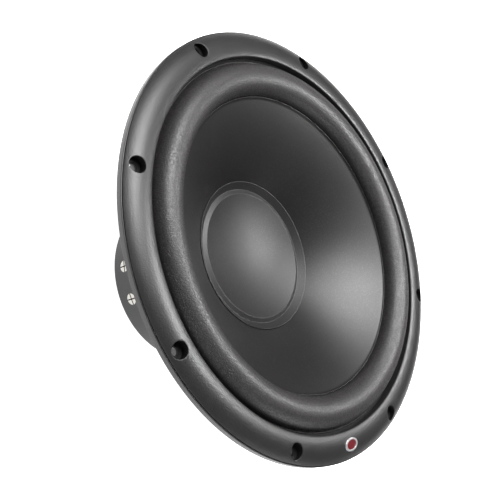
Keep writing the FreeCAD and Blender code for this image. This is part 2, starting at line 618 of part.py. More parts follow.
def tangent_arc_path(points):
    """Wire of straight runs joined by tangent arcs, as large as the runs allow. Prints each arc's radius."""
    vectors = [FreeCAD.Vector(*p) for p in points]
    edges, here, radii = [], vectors[0], []
    for before, corner, after in zip(vectors, vectors[1:], vectors[2:]):
        inward, onward = corner - before, after - corner
        half_turn = inward.getAngle(onward) / 2
        cut_back = 0.45 * min(inward.Length, onward.Length)
        radii.append(cut_back / math.tan(half_turn))
        inward.normalize()
        onward.normalize()
        arc_start, arc_end = corner - inward * cut_back, corner + onward * cut_back
        to_centre = onward - inward
        to_centre.normalize()
        reach = radii[-1] / math.cos(half_turn) - radii[-1]
        edges.append(Part.LineSegment(here, arc_start).toShape())
        edges.append(Part.Arc(arc_start, corner + to_centre * reach, arc_end).toShape())
        here = arc_end
    edges.append(Part.LineSegment(here, vectors[-1]).toShape())
    wire = Part.Wire(edges)
    print(f"lead: length {wire.Length:.1f}, arc radii {[round(r, 1) for r in radii]}")
    return wire


def make_lead(bow):
    """Tinsel lead along +X, from a tab's inner face to the former. It bows sideways to leave slack."""
    start = BARREL_INNER_END - TAB_THICKNESS
    end = FORMER_OUTER_RADIUS + SOFT_GAP
    low = FLOOR_TOP + TAB_RISE - TAB_EYE_INSET
    rise = LEAD_ENTRY_HEIGHT - low
    span = start - end
    route = [
        (start, 0, low),
        (start - 0.19 * span, bow * 1.4, low + 0.05 * rise),
        (start - 0.38 * span, bow * 6.4, low + 0.25 * rise),
        (start - 0.64 * span, bow * 7.8, low + 0.65 * rise),
        (start - 0.83 * span, bow * 2.2, low + 0.95 * rise),
        (end, 0, LEAD_ENTRY_HEIGHT),
    ]
    path = tangent_arc_path(route)
    first_run = FreeCAD.Vector(*route[1]) - FreeCAD.Vector(*route[0])
    section = Part.makeCircle(LEAD_RADIUS, FreeCAD.Vector(*route[0]), first_run)
    return path.makePipeShell([Part.Wire(section)], True, True)


def make_block(side, middle):
    """Moulded block under the basket's bottom plate, bored for the barrels and slotted for the tabs."""
    inner = MAGNET_RADIUS + BLOCK_INNER_GAP
    top = PLATE_FRONT
    outer = boot_radius(top - BLOCK_HEIGHT, BOOT_WALL + BOOT_GAP)
    body = block(inner - 4, outer, BLOCK_WIDTH / 2, top - BLOCK_HEIGHT, top)
    body = body.common(ring(inner, outer, top - BLOCK_HEIGHT, top))
    bore = radial_rod(BARREL_RADIUS + MOULDED_GAP, BARREL_INNER_END, SPIGOT_RADIUS, TERMINAL_HEIGHT)
    slot = block(BARREL_INNER_END - TAB_THICKNESS - MOULDED_GAP, BARREL_INNER_END, TAB_WIDTH / 2 + MOULDED_GAP,
                 TERMINAL_HEIGHT - TAB_WIDTH / 2 - MOULDED_GAP, top)
    for sign in (-1, 1):
        body = body.cut(spun(bore, sign * TERMINAL_HALF_ANGLE))
        body = body.cut(spun(slot, sign * TERMINAL_HALF_ANGLE))
    pieces[f"terminal_block_{side}"] = spun(body, middle)


def make_terminals():
    make_block("left", 180.0)
    make_block("right", 0.0)
    barrel, plunger, spring, tab = make_barrel(), make_plunger(), make_spring(), make_tab()
    leads = {sign: make_lead(sign) for sign in (-1, 1)}
    for name, angle in terminals():
        sign = 1 if (angle % 180) < 90 else -1
        pieces[f"terminal_barrel_{name}"] = spun(barrel, angle)
        pieces[f"terminal_plunger_{name}"] = spun(plunger, angle)
        pieces[f"terminal_spring_{name}"] = spun(spring, angle)
        pieces[f"terminal_tab_{name}"] = spun(tab, angle)
        pieces[f"tinsel_lead_{name}"] = spun(leads[sign], angle)


make_badge()
make_trim_ring()
make_basket()
make_surround()
make_cone()
make_dust_cap()
make_voice_coil()
make_spider()
make_motor()
make_motor_boot()
make_terminals()

os.makedirs("parts", exist_ok=True)
for node, shape in pieces.items():
    shape.exportStep(f"parts/{node}.step")
    solids = shape.Solids
    print(f"{node}: solids {len(solids)}, volume {sum(s.Volume for s in solids):.1f}, valid {shape.isValid()}")
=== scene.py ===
"""Looks of a 12-inch car subwoofer: finishes, detailed meshes, studio and camera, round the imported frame.

Lengths in the dataclasses are millimetres, except the studio's, which are metres, and angles are degrees.
Meshes are made in metres. +Z is the speaker's axis, towards the listener, and Z = 0 is the mounting plane.
"""

import logging
import math
from dataclasses import dataclass, field
from enum import Enum
from typing import Callable, Iterable, Protocol, Sequence

import bmesh
import bpy
import numpy as np
from mathutils import Matrix, Vector


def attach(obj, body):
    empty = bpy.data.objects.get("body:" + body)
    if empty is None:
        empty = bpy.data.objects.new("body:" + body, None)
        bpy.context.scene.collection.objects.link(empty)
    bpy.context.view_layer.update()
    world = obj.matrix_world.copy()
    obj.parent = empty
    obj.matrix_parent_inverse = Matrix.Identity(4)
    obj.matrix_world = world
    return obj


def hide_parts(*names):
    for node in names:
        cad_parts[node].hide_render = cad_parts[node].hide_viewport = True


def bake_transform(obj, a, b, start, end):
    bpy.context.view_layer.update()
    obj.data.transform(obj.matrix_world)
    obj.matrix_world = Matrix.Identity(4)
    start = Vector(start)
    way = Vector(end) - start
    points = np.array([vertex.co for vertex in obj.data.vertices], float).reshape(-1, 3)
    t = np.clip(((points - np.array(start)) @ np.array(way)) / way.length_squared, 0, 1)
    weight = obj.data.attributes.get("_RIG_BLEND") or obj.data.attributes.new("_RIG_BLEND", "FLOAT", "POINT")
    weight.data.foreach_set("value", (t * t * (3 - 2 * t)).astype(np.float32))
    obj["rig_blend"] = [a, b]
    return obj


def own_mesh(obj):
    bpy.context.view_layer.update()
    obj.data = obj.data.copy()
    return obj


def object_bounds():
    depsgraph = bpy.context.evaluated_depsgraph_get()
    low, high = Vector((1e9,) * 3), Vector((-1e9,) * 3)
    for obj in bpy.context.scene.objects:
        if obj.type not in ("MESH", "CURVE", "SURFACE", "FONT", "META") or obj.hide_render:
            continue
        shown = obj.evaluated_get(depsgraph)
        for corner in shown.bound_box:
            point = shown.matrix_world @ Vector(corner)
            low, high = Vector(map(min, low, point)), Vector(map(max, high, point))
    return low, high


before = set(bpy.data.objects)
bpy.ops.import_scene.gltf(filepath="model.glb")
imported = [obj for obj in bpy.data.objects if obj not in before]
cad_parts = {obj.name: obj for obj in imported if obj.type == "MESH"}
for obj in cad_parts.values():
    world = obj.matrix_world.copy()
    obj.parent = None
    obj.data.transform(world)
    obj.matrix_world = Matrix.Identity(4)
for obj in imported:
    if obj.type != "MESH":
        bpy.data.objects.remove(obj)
cad_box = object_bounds()

logging.basicConfig(level=logging.INFO, format="%(message)s")
log = logging.getLogger("subwoofer")

MM = 0.001
WELD = 1e-6
CHASSIS = "chassis"
CONE_BODY = "cone_assembly"
Point = tuple[float, float]
Colour = tuple[float, float, float]


# ---------------------------------------------------------------- shader graph


class Link:
    """A node's output that takes part in arithmetic: each operator adds a Math node."""

    def __init__(self, shader: "Shader", socket: bpy.types.NodeSocket) -> None:
        """Wraps one output socket of a shader."""
        self.shader = shader
        self.socket = socket

    def _math(self, operation: str, left: "Link | float", right: "Link | float") -> "Link":
        """Adds one Math node on two values."""
        return self.shader.node("ShaderNodeMath", {"operation": operation}, {0: left, 1: right})

    def __add__(self, other: "Link | float") -> "Link":
        """self + other"""
        return self._math("ADD", self, other)

    def __radd__(self, other: float) -> "Link":
        """other + self"""
        return self._math("ADD", other, self)

    def __sub__(self, other: "Link | float") -> "Link":
        """self - other"""
        return self._math("SUBTRACT", self, other)

    def __rsub__(self, other: float) -> "Link":
        """other - self"""
        return self._math("SUBTRACT", other, self)

    def __mul__(self, other: "Link | float") -> "Link":
        """self * other"""
        return self._math("MULTIPLY", self, other)

    def __rmul__(self, other: float) -> "Link":
        """other * self"""
        return self._math("MULTIPLY", other, self)

    def above(self, threshold: float) -> "Link":
        """1 where the value is over a threshold, else 0."""
        return self._math("GREATER_THAN", self, threshold)


class Shader:
    """A material under construction, with one Principled surface."""

    def __init__(self, name: str) -> None:
        """Starts an empty material.

        Args:
            name: the material's name.
        """
        self.material = bpy.data.materials.new(name)
        self.material.use_nodes = True
        self.tree = self.material.node_tree
        self.surface = self.tree.nodes["Principled BSDF"]

    def node(
        self, kind: str, settings: dict | None = None, inputs: dict | None = None, output: int | str = 0
    ) -> Link:
        """Adds a node.

        Args:
            kind: the node's type.
            settings: attributes set first; "stops" holds a ramp's (position, grey or colour) pairs.
            inputs: value or Link of each input socket, by name or index.
            output: which output to return.

        Returns:
            The chosen output.
        """
        made = self.tree.nodes.new(kind)
        for key, value in (settings or {}).items():
            if key == "stops":
                self._ramp(made.color_ramp, value)
            else:
                setattr(made, key, value)
        for key, value in (inputs or {}).items():
            self._feed(made.inputs[key], value)
        return Link(self, made.outputs[output])

    def surface_set(self, **inputs: "Link | float | tuple") -> None:
        """Sets sockets of the Principled surface; an underscore in a name stands for a space."""
        for key, value in inputs.items():
            self._feed(self.surface.inputs[key.replace("_", " ")], value)

    def _feed(self, socket: bpy.types.NodeSocket, value: "Link | float | tuple") -> None:
        """Links or sets one input socket.

        Args:
            socket: the socket to feed.
            value: a Link, or a number or colour for the socket itself.
        """
        if isinstance(value, Link):
            self.tree.links.new(value.socket, socket)
        else:
            socket.default_value = value

    @staticmethod
    def _ramp(ramp: bpy.types.ColorRamp, stops: Sequence[tuple]) -> None:
        """Fills a colour ramp.

        Args:
            ramp: the ramp, with its two first stops.
            stops: (position, grey or colour) pairs.
        """
        while len(ramp.elements) < len(stops):
            ramp.elements.new(1.0)
        for element, (position, colour) in zip(ramp.elements, stops):
            element.position = position
            element.color = (*((colour,) * 3 if isinstance(colour, float) else colour), 1.0)

    def place(self) -> Link:
        """Object coordinates, in metres."""
        return self.node("ShaderNodeTexCoord", output="Object")

    def noise(self, size_mm: float, detail: float = 2.0, roughness: float = 0.5) -> Link:
        """Adds fractal noise.

        Args:
            size_mm: about how large its features are.
            detail: how many finer layers it has.
            roughness: how strong the finer layers are.

        Returns:
            The noise, from 0 to 1.
        """
        scale = 1 / (size_mm * MM)
        inputs = {"Vector": self.place(), "Scale": scale, "Detail": detail, "Roughness": roughness}
        return self.node("ShaderNodeTexNoise", {}, inputs, "Fac")

    def cells(self, size_mm: float, output: str = "Distance") -> Link:
        """Voronoi cells about a given size across."""
        inputs = {"Vector": self.place(), "Scale": 1 / (size_mm * MM)}
        return self.node("ShaderNodeTexVoronoi", {}, inputs, output)

    def shade_of_cells(self, size_mm: float) -> Link:
        """A random value of 0 to 1 for each cell."""
        return self.node("ShaderNodeSeparateColor", {}, {"Color": self.cells(size_mm, "Color")})

    def ramp(self, value: Link, *stops: tuple) -> Link:
        """Maps a value through a colour ramp."""
        return self.node("ShaderNodeValToRGB", {"stops": stops}, {"Fac": value})

    def mix(self, factor: "Link | float", low: "Link | tuple", high: "Link | tuple") -> Link:
        """Mixes two colours."""
        low, high = (value if isinstance(value, Link) else (*value, 1.0) for value in (low, high))
        return self.node("ShaderNodeMix", {"data_type": "RGBA"}, {0: factor, 6: low, 7: high}, 2)

    def bump(self, height: Link, depth_mm: float) -> Link:
        """Turns a height of 0 to 1 into a normal, for a surface that deep from top to bottom."""
        return self.node("ShaderNodeBump", {}, {"Height": height, "Distance": depth_mm * MM, "Strength": 1.0})


# ---------------------------------------------------------------- finishes


@dataclass(frozen=True)
class Finish:
    """What every finish has: a name, the record's slot, a colour and a roughness."""

    name: str
    slot: str
    colour: Colour
    roughness: float

    def shade(self, factor: float) -> Colour:
        """The finish's colour, made lighter or darker by a factor."""
        return tuple(c * factor for c in self.colour)

    def material(self) -> bpy.types.Material:
        """Makes the material the first time that it is asked for.

        Returns:
            The finished material.
        """
        found = bpy.data.materials.get(f"{self.name}_finish")
        if found is None:
            shader = Shader(f"{self.name}_finish")
            self.paint(shader)
            found = shader.material
        return found

    def paint(self, shader: Shader) -> None:
        """Adds this finish's nodes to a shader."""
        raise NotImplementedError

    def dress(self, piece: bpy.types.Object) -> None:
        """Gives a piece this finish as its only material."""
        piece.data.materials.clear()
        piece.data.materials.append(self.material())


@dataclass(frozen=True)
class Moulding(Finish):
    """Moulded plastic with a fine spark-eroded grain."""

    grain_mm: float = 0.7
    grain_depth_mm: float = 0.05
    mottle: float = 0.18
    specular: float = 0.5
    cloud_mm: float = 9.0
    grain_gloss: float = 0.16
    cloud_gloss: float = 0.06

    def paint(self, shader: Shader) -> None:
        """Fine grain in the normal, and a cloudy mottle in colour and roughness.

        Args:
            shader: the shader to fill.
        """
        grain = shader.noise(self.grain_mm, 3.0, 0.65)
        cloud = shader.noise(self.cloud_mm, 3.0, 0.6)
        base = self.roughness - (self.grain_gloss + self.cloud_gloss) / 2
        dark, light = self.shade(1 - self.mottle), self.shade(1 + self.mottle)
        shader.surface_set(
            Base_Color=shader.mix(grain * 0.6 + cloud * 0.4, dark, light),
            Roughness=grain * self.grain_gloss + cloud * self.cloud_gloss + base,
            Normal=shader.bump(grain, self.grain_depth_mm),
            Specular_IOR_Level=self.specular,
        )


@dataclass(frozen=True)
class Foam(Finish):
    """Skinned foam: pebbled cells with a soft sheen and small bright nubs."""

    cell_mm: float = 0.85
    grit_mm: float = 0.45
    cloud_mm: float = 5.0
    darkest: float = 0.1
    lightest: float = 2.4
    gloss: float = 0.22
    depth_mm: float = 0.22

    def paint(self, shader: Shader) -> None:
        """Small cells, each with its own height and shade, over a cloudy ground.

        Args:
            shader: the shader to fill.
        """
        seed = shader.shade_of_cells(self.cell_mm)
        pebble = shader.ramp(shader.cells(self.cell_mm), (0.0, 1.0), (0.8, 0.0))
        grit = shader.noise(self.grit_mm, 3.0, 0.7)
        cloud = shader.noise(self.cloud_mm, 3.0, 0.6)
        tone = seed * 0.55 + cloud * 0.25 + grit * 0.2
        shader.surface_set(
            Base_Color=shader.mix(tone, self.shade(self.darkest), self.shade(self.lightest)),
            Roughness=self.roughness + 0.1 - seed * self.gloss,
            Normal=shader.bump(pebble * 0.35 + seed * 0.4 + grit * 0.25, self.depth_mm),
            Specular_IOR_Level=0.6,
        )


@dataclass(frozen=True)
class FleckedSatin(Finish):
    """Injection-moulded diaphragm plastic: smooth satin with fine mica flecks."""

    fleck_mm: float = 0.40
    fleck: float = 0.022
    rarity: float = 0.86
    skin_mm: float = 0.5
    skin_depth_mm: float = 0.020
    flow_mm: float = 30.0

    def paint(self, shader: Shader) -> None:
        """Scattered flecks in colour and roughness over a barely uneven skin.

        Args:
            shader: the shader to fill.
        """
        speck = shader.shade_of_cells(self.fleck_mm).above(self.rarity) * shader.noise(1.2)
        skin = shader.noise(self.skin_mm, 3.0, 0.7)
        flow = shader.noise(self.flow_mm)
        light = tuple(c + self.fleck for c in self.colour)
        shader.surface_set(
            Base_Color=shader.mix(speck, self.colour, light),
            Roughness=self.roughness - speck * 0.1 + flow * 0.06 + skin * 0.06 - 0.06,
            Normal=shader.bump(skin, self.skin_depth_mm),
            Specular_IOR_Level=0.5,
        )


@dataclass(frozen=True)
class Metal(Finish):
    """Bare or plated metal, with fine scratches and a little tarnish."""

    scratch: float = 0.08
    tarnish: float = 0.15
    streak_mm: float = 0.35
    streak_depth_mm: float = 0.008
    cloud_mm: float = 5.0

    def paint(self, shader: Shader) -> None:
        """Streaked roughness, cloudy tarnish and a faint waviness.

        Args:
            shader: the shader to fill.
        """
        streak = shader.noise(self.streak_mm, 4.0, 0.7)
        cloud = shader.noise(self.cloud_mm, 3.0, 0.6)
        shader.surface_set(
            Base_Color=shader.mix(cloud, self.shade(1 - self.tarnish), self.colour),
            Metallic=1.0,
            Roughness=streak * self.scratch + cloud * 0.05 + self.roughness,
            Normal=shader.bump(streak, self.streak_depth_mm),
        )


@dataclass(frozen=True)
class Ceramic(Finish):
    """Sintered ferrite: dull, with small pits."""

    pit_mm: float = 0.9
    pit_depth_mm: float = 0.05
    cloud_mm: float = 4.0

    def paint(self, shader: Shader) -> None:
        """Pits and cloudy grey.

        Args:
            shader: the shader to fill.
        """
        pit = shader.ramp(shader.cells(self.pit_mm), (0.05, 0.0), (0.25, 1.0))
        cloud = shader.noise(self.cloud_mm, 4.0, 0.6)
        shader.surface_set(
            Base_Color=shader.mix(cloud, self.shade(0.6), self.colour),
            Roughness=cloud * 0.2 + (self.roughness - 0.1),
            Normal=shader.bump(pit, self.pit_depth_mm),
        )


@dataclass(frozen=True)
class Weave(Finish):
    """Resin-treated cloth: square weave with threads over and under."""

    thread_mm: float = 0.55
    thread_depth_mm: float = 0.14
    stain_mm: float = 7.0

    def paint(self, shader: Shader) -> None:
        """Crossed wave bands as threads, resin-stained colour, dry sheen.

        Args:
            shader: the shader to fill.
        """
        scale = math.pi / (20 * self.thread_mm * MM)
        bands = []
        for axis in ("X", "Y"):
            inputs = {"Vector": shader.place(), "Scale": scale, "Distortion": 0.4}
            bands.append(shader.node("ShaderNodeTexWave", {"bands_direction": axis}, inputs, "Fac"))
        thread = bands[0] * 0.5 + bands[1] * 0.5
        stain = shader.noise(self.stain_mm, 4.0, 0.6)
        shader.surface_set(
            Base_Color=shader.mix(thread * 0.5 + stain * 0.5, self.shade(0.5), self.colour),
            Roughness=stain * 0.15 + (self.roughness - 0.07),
            Normal=shader.bump(thread, self.thread_depth_mm),
        )


@dataclass(frozen=True)
class Enamel(Finish):
    """Glossy enamel with slight depth variation under a clear coat."""

    cloud_mm: float = 2.5
    coat: float = 0.8
    coat_roughness: float = 0.08

    def paint(self, shader: Shader) -> None:
        """Cloudy colour under a smooth coat.

        Args:
            shader: the shader to fill.
        """
        cloud = shader.noise(self.cloud_mm, 3.0, 0.6)
        shader.surface_set(
            Base_Color=shader.mix(cloud, self.shade(0.6), self.colour),
            Roughness=cloud * 0.1 + self.roughness,
            Coat_Weight=self.coat,
            Coat_Roughness=self.coat_roughness,
        )


class Finishes(Enum):
    """Every finish on the speaker."""

    RING = Moulding(
        "ring_moulding", "ring_plastic", (0.0165, 0.0158, 0.0163), 0.37,
        grain_mm=1.1, grain_depth_mm=0.12, mottle=0.4,
    )
    BOOT = Moulding(
        "boot_moulding", "boot_plastic", (0.024, 0.024, 0.025), 0.34,
        grain_mm=0.5, grain_depth_mm=0.015, mottle=0.10,
    )
    TERMINAL = Moulding(
        "terminal_moulding", "terminal_plastic", (0.012, 0.012, 0.012), 0.50,
        grain_mm=0.5, grain_depth_mm=0.02, mottle=0.15,
    )
    COAT = Moulding(
        "basket_powder_coat", "basket_coat", (0.012, 0.012, 0.013), 0.44,
        grain_mm=1.1, grain_depth_mm=0.05, mottle=0.12,
    )
    FOAM = Foam("surround_foam", "foam", (0.0165, 0.0152, 0.0157), 0.46)
    CONE = FleckedSatin("cone_satin", "cone_plastic", (0.0052, 0.0045, 0.0047), 0.40)
    CAP = FleckedSatin("cap_satin", "cap_plastic", (0.0052, 0.0045, 0.0047), 0.48)
    NICKEL = Metal("terminal_nickel", "nickel", (0.66, 0.64, 0.60), 0.18)
    ZINC = Metal("motor_zinc", "plated_steel", (0.42, 0.42, 0.40), 0.32, scratch=0.12, tarnish=0.25)
    FORMER = Metal("former_foil", "former_metal", (0.55, 0.55, 0.56), 0.25)
    COPPER = Metal("winding_copper", "winding", (0.62, 0.22, 0.09), 0.28, scratch=0.10, tarnish=0.35)
    TINSEL = Metal("lead_tinsel", "tinsel", (0.72, 0.40, 0.22), 0.34, scratch=0.12, tarnish=0.30)
    SPRING = Metal("spring_steel", "spring_wire", (0.50, 0.50, 0.50), 0.25)
    # Black oxide on the motor screws; the plunger slots get it too, as painted shade.
    SCREW = Metal("black_oxide_and_slot_shade", "screw_black", (0.035, 0.035, 0.037), 0.38)
    BEZEL = Metal("badge_satin_metal", "badge_metal", (0.78, 0.78, 0.79), 0.36)
    FERRITE = Ceramic("magnet_ferrite", "ferrite", (0.055, 0.055, 0.060), 0.62)
    CLOTH = Weave("spider_cloth", "spider_cloth", (0.30, 0.17, 0.055), 0.78)
    ENAMEL = Enamel("badge_enamel", "badge_enamel", (0.13, 0.003, 0.008), 0.30)
    # Near-black finish for painted shade: on the floors and walls of the trim ring's screw places, and on the
    # surround's foot under the ring's lip.
    PAINTED_SHADE = Moulding(
        "painted_shade_black", "foam", (0.004, 0.004, 0.004), 0.70,
        grain_mm=1.2, grain_depth_mm=0.05, mottle=0.2, specular=0.2,
    )


# ---------------------------------------------------------------- mesh helpers


@dataclass(frozen=True)
class Corner:
    """One corner of an outline, with the radius that rounds it."""

    r: float
    z: float
    radius: float = 0.0


def outline(corners: Sequence[Corner], steps: int = 4) -> list[Point]:
    """Turns corners into a closed outline with rounded corners.

    Args:
        corners: the corners in order round the section.
        steps: segments in each rounded corner.

    Returns:
        The outline's points.
    """
    points: list[Point] = []
    for before, here, after in zip((corners[-1], *corners[:-1]), corners, (*corners[1:], corners[0])):
        corner = Vector((here.r, here.z))
        if here.radius <= 0:
            points.append((here.r, here.z))
            continue
        inward = (Vector((before.r, before.z)) - corner).normalized()
        onward = (Vector((after.r, after.z)) - corner).normalized()
        reach = here.radius / math.tan(inward.angle(onward) / 2)
        start, end = corner + inward * reach, corner + onward * reach
        for i in range(steps + 1):
            t = i / steps
            points.append(tuple(start * (1 - t) ** 2 + corner * (2 * t * (1 - t)) + end * t**2))
    return points


@dataclass
class Piece:
    """A mesh object in the making: the body it rides on, its finish and the CAD node that it stands for."""

    name: str
    body: str
    finish: Finishes
    node: str
    thing: bpy.types.Object = field(init=False)
    blended: bool = field(init=False, default=False)

    def __post_init__(self) -> None:
        """Adds the empty mesh object to the scene, in its finish."""
        self.thing = bpy.data.objects.new(self.name, bpy.data.meshes.new(self.name))
        bpy.context.scene.collection.objects.link(self.thing)
        self.finish.value.dress(self.thing)

    @property
    def mesh(self) -> bpy.types.Mesh:
        """The object's mesh."""
        return self.thing.data

    def fill(self, vertices: Sequence, faces: Sequence, sharp: float) -> None:
        """Puts a closed mesh into the piece and shades it smooth up to an angle.

        Args:
            vertices: corners in millimetres.
            faces: lists of corner numbers.
            sharp: edges bent further than this stay sharp.
        """
        self.mesh.from_pydata([tuple(c * MM for c in v) for v in vertices], [], faces)
        work = bmesh.new()
        work.from_mesh(self.mesh)
        bmesh.ops.remove_doubles(work, verts=work.verts, dist=WELD)
        bmesh.ops.recalc_face_normals(work, faces=work.faces)
        work.to_mesh(self.mesh)
        work.free()
        self.mesh.shade_smooth()
        self.mesh.set_sharp_from_angle(angle=math.radians(sharp))

    def second_finish(self, finish: Finishes, chosen: Callable[[Vector], bool]) -> None:
        """Gives some faces another finish.

        Args:
            finish: the other finish.
            chosen: tells from a face's centre, in millimetres, whether it is one of them.
        """
        self.mesh.materials.append(finish.value.material())
        for face in self.mesh.polygons:
            if chosen(face.center / MM):
                face.material_index = 1

    def blend(self, start: Sequence[float], end: Sequence[float]) -> None:
        """Stores blend weights on a soft piece, from the chassis at its start to the cone at its end, both in
        metres.
        """
        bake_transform(self.thing, CHASSIS, CONE_BODY, start=tuple(start), end=tuple(end))
        self.blended = True

    def blend_round(self, outer: float, inner: float) -> None:
        """Stores blend weights on a round soft piece, from the chassis at its outer edge to the cone at its
        inner edge.

        Args:
            outer: radius, in millimetres, outside which it stays with the chassis.
            inner: radius inside which it moves with the cone.
        """
        self.blend((outer * MM, 0, 0), (inner * MM, 0, 0))
        radii = np.array([math.hypot(v.co.x, v.co.y) for v in self.mesh.vertices]) / MM
        share = np.clip((outer - radii) / (outer - inner), 0, 1)
        weights = share * share * (3 - 2 * share)
        self.mesh.attributes["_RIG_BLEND"].data.foreach_set("value", weights.astype(np.float32))

    def settle(self) -> "Piece":
        """Rides the piece on its body, unless it is blended, and hides the node that it stands for.

        Returns:
            The piece.
        """
        if not self.blended:
            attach(self.thing, self.body)
        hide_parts(self.node)
        return self


def flat_faced_normals(mesh: bpy.types.Mesh, sharp: float = 32.0) -> None:
    """Shades large faces flat or evenly curved, and leaves the turn between them to the small rounding faces.

    Args:
        mesh: the mesh to shade.
        sharp: faces that meet at more than this angle don't share a normal.
    """
    mesh.shade_smooth()
    normals = [face.normal.copy() for face in mesh.polygons]
    around: list[list[int]] = [[] for _ in mesh.vertices]
    for face in mesh.polygons:
        for vertex in face.vertices:
            around[vertex].append(face.index)
    limit = math.cos(math.radians(sharp))
    corners = []
    for face in mesh.polygons:
        own = normals[face.index]
        for vertex in face.vertices:
            near = [n for n in around[vertex] if normals[n].dot(own) > limit]
            total = sum((normals[n] * mesh.polygons[n].area for n in near), Vector())
            corners.append(total.normalized() if total.length > 0 else own)
    mesh.normals_split_custom_set(corners)


def lathe(section: Sequence[Point], segments: int = 256) -> tuple[list, list]:
    """Turns a closed section about Z.

    Args:
        section: the section's points; a point on the axis has r = 0.
        segments: steps round the circle.

    Returns:
        Vertices in millimetres, and faces.
    """
    count = len(section)
    turns = [2 * math.pi * i / segments for i in range(segments)]
    vertices = [(r * math.cos(a), r * math.sin(a), z) for a in turns for r, z in section]
    faces = []
    for i in range(segments):
        for j in range(count):
            k = (j + 1) % count
            if section[j][0] == 0 and section[k][0] == 0:
                continue
            here, onward = i * count, (i + 1) % segments * count
            faces.append([here + j, here + k, onward + k, onward + j])
    return vertices, tidy_faces(vertices, faces)


def tidy_faces(vertices: Sequence, faces: Sequence) -> list:
    """Drops the repeated corner of each face that meets the axis.

    Args:
        vertices: the mesh's corners.
        faces: lists of corner numbers.

    Returns:
        The faces without repeats.
    """
    tidy = []
    for loop in faces:
        kept: list[int] = []
        for corner in loop:
            if all(vertices[corner] != vertices[other] for other in kept):
                kept.append(corner)
        if len(kept) > 2:
            tidy.append(kept)
    return tidy


def tube(path: Sequence[Vector], section: Callable[[int], Sequence[Point]]) -> tuple[list, list]:
    """Sweeps a section along a path, without twist, and closes both ends.

    Args:
        path: points in millimetres.
        section: gives the section's points at each step of the path.

    Returns:
        Vertices in millimetres, and faces.
    """
    vertices: list = []
    across = Vector((0, 0, 1))
    for i, here in enumerate(path):
        ahead = (path[min(i + 1, len(path) - 1)] - path[max(i - 1, 0)]).normalized()
        side = ahead.cross(across).normalized()
        across = side.cross(ahead).normalized()
        vertices += [tuple(here + side * u + across * v) for u, v in section(i)]
    count = len(section(0))
    faces = [
        [i * count + j, i * count + (j + 1) % count, (i + 1) * count + (j + 1) % count, (i + 1) * count + j]
        for i in range(len(path) - 1)
        for j in range(count)
    ]
    last = (len(path) - 1) * count
    return vertices, faces + [list(range(count)), list(range(last, last + count))]


# ---------------------------------------------------------------- curves that several pieces share


@dataclass(frozen=True)
class ArcCurve:
    """Height over a radius along one circular arc, convex upwards."""

    centre_r: float
    centre_z: float
    radius: float

    def height(self, r: float) -> float:
        """Height of the arc at a radius."""
        return self.centre_z + math.sqrt(self.radius**2 - (r - self.centre_r) ** 2)

    def run(self, start: float, end: float, steps: int) -> list[Point]:
        """Points along the arc from one radius to another."""
        return [(r, self.height(r)) for r in np.linspace(start, end, steps + 1).tolist()]


@dataclass(frozen=True)
class ConeLine:
    """The cone's front: an arc from the rim to the dust-cap seam, then a straight run to the neck."""

    rim_r: float = 109.6
    rim_z: float = 1.6
    rim_slope: float = 28.79
    curve: float = 12.6
    seam_r: float = 56.5
    seam_z: float = -35.7056

    @property
    def arc(self) -> ArcCurve:
        """The arc outside the seam.

        Returns:
            The arc, from its chord, its slope at the rim and the angle that it turns through.
        """
        chord = math.hypot(self.rim_r - self.seam_r, self.rim_z - self.seam_z)
        radius = chord / (2 * math.sin(math.radians(self.curve / 2)))
        slope = math.radians(self.rim_slope)
        return ArcCurve(self.rim_r + radius * math.sin(slope), self.rim_z - radius * math.cos(slope), radius)

    @property
    def seam_slope(self) -> float:
        """Rise over run inside the seam."""
        return math.tan(math.radians(self.rim_slope + self.curve))

    def height(self, r: float) -> float:
        """Height of the front surface.

        Args:
            r: the radius.

        Returns:
            The height at that radius.
        """
        if r < self.seam_r:
            return self.seam_z - (self.seam_r - r) * self.seam_slope
        return self.arc.height(r)


CONE_LINE = ConeLine()
CROWN = ArcCurve(142.875, -13.22, 22.69)


# ---------------------------------------------------------------- trim ring and badge


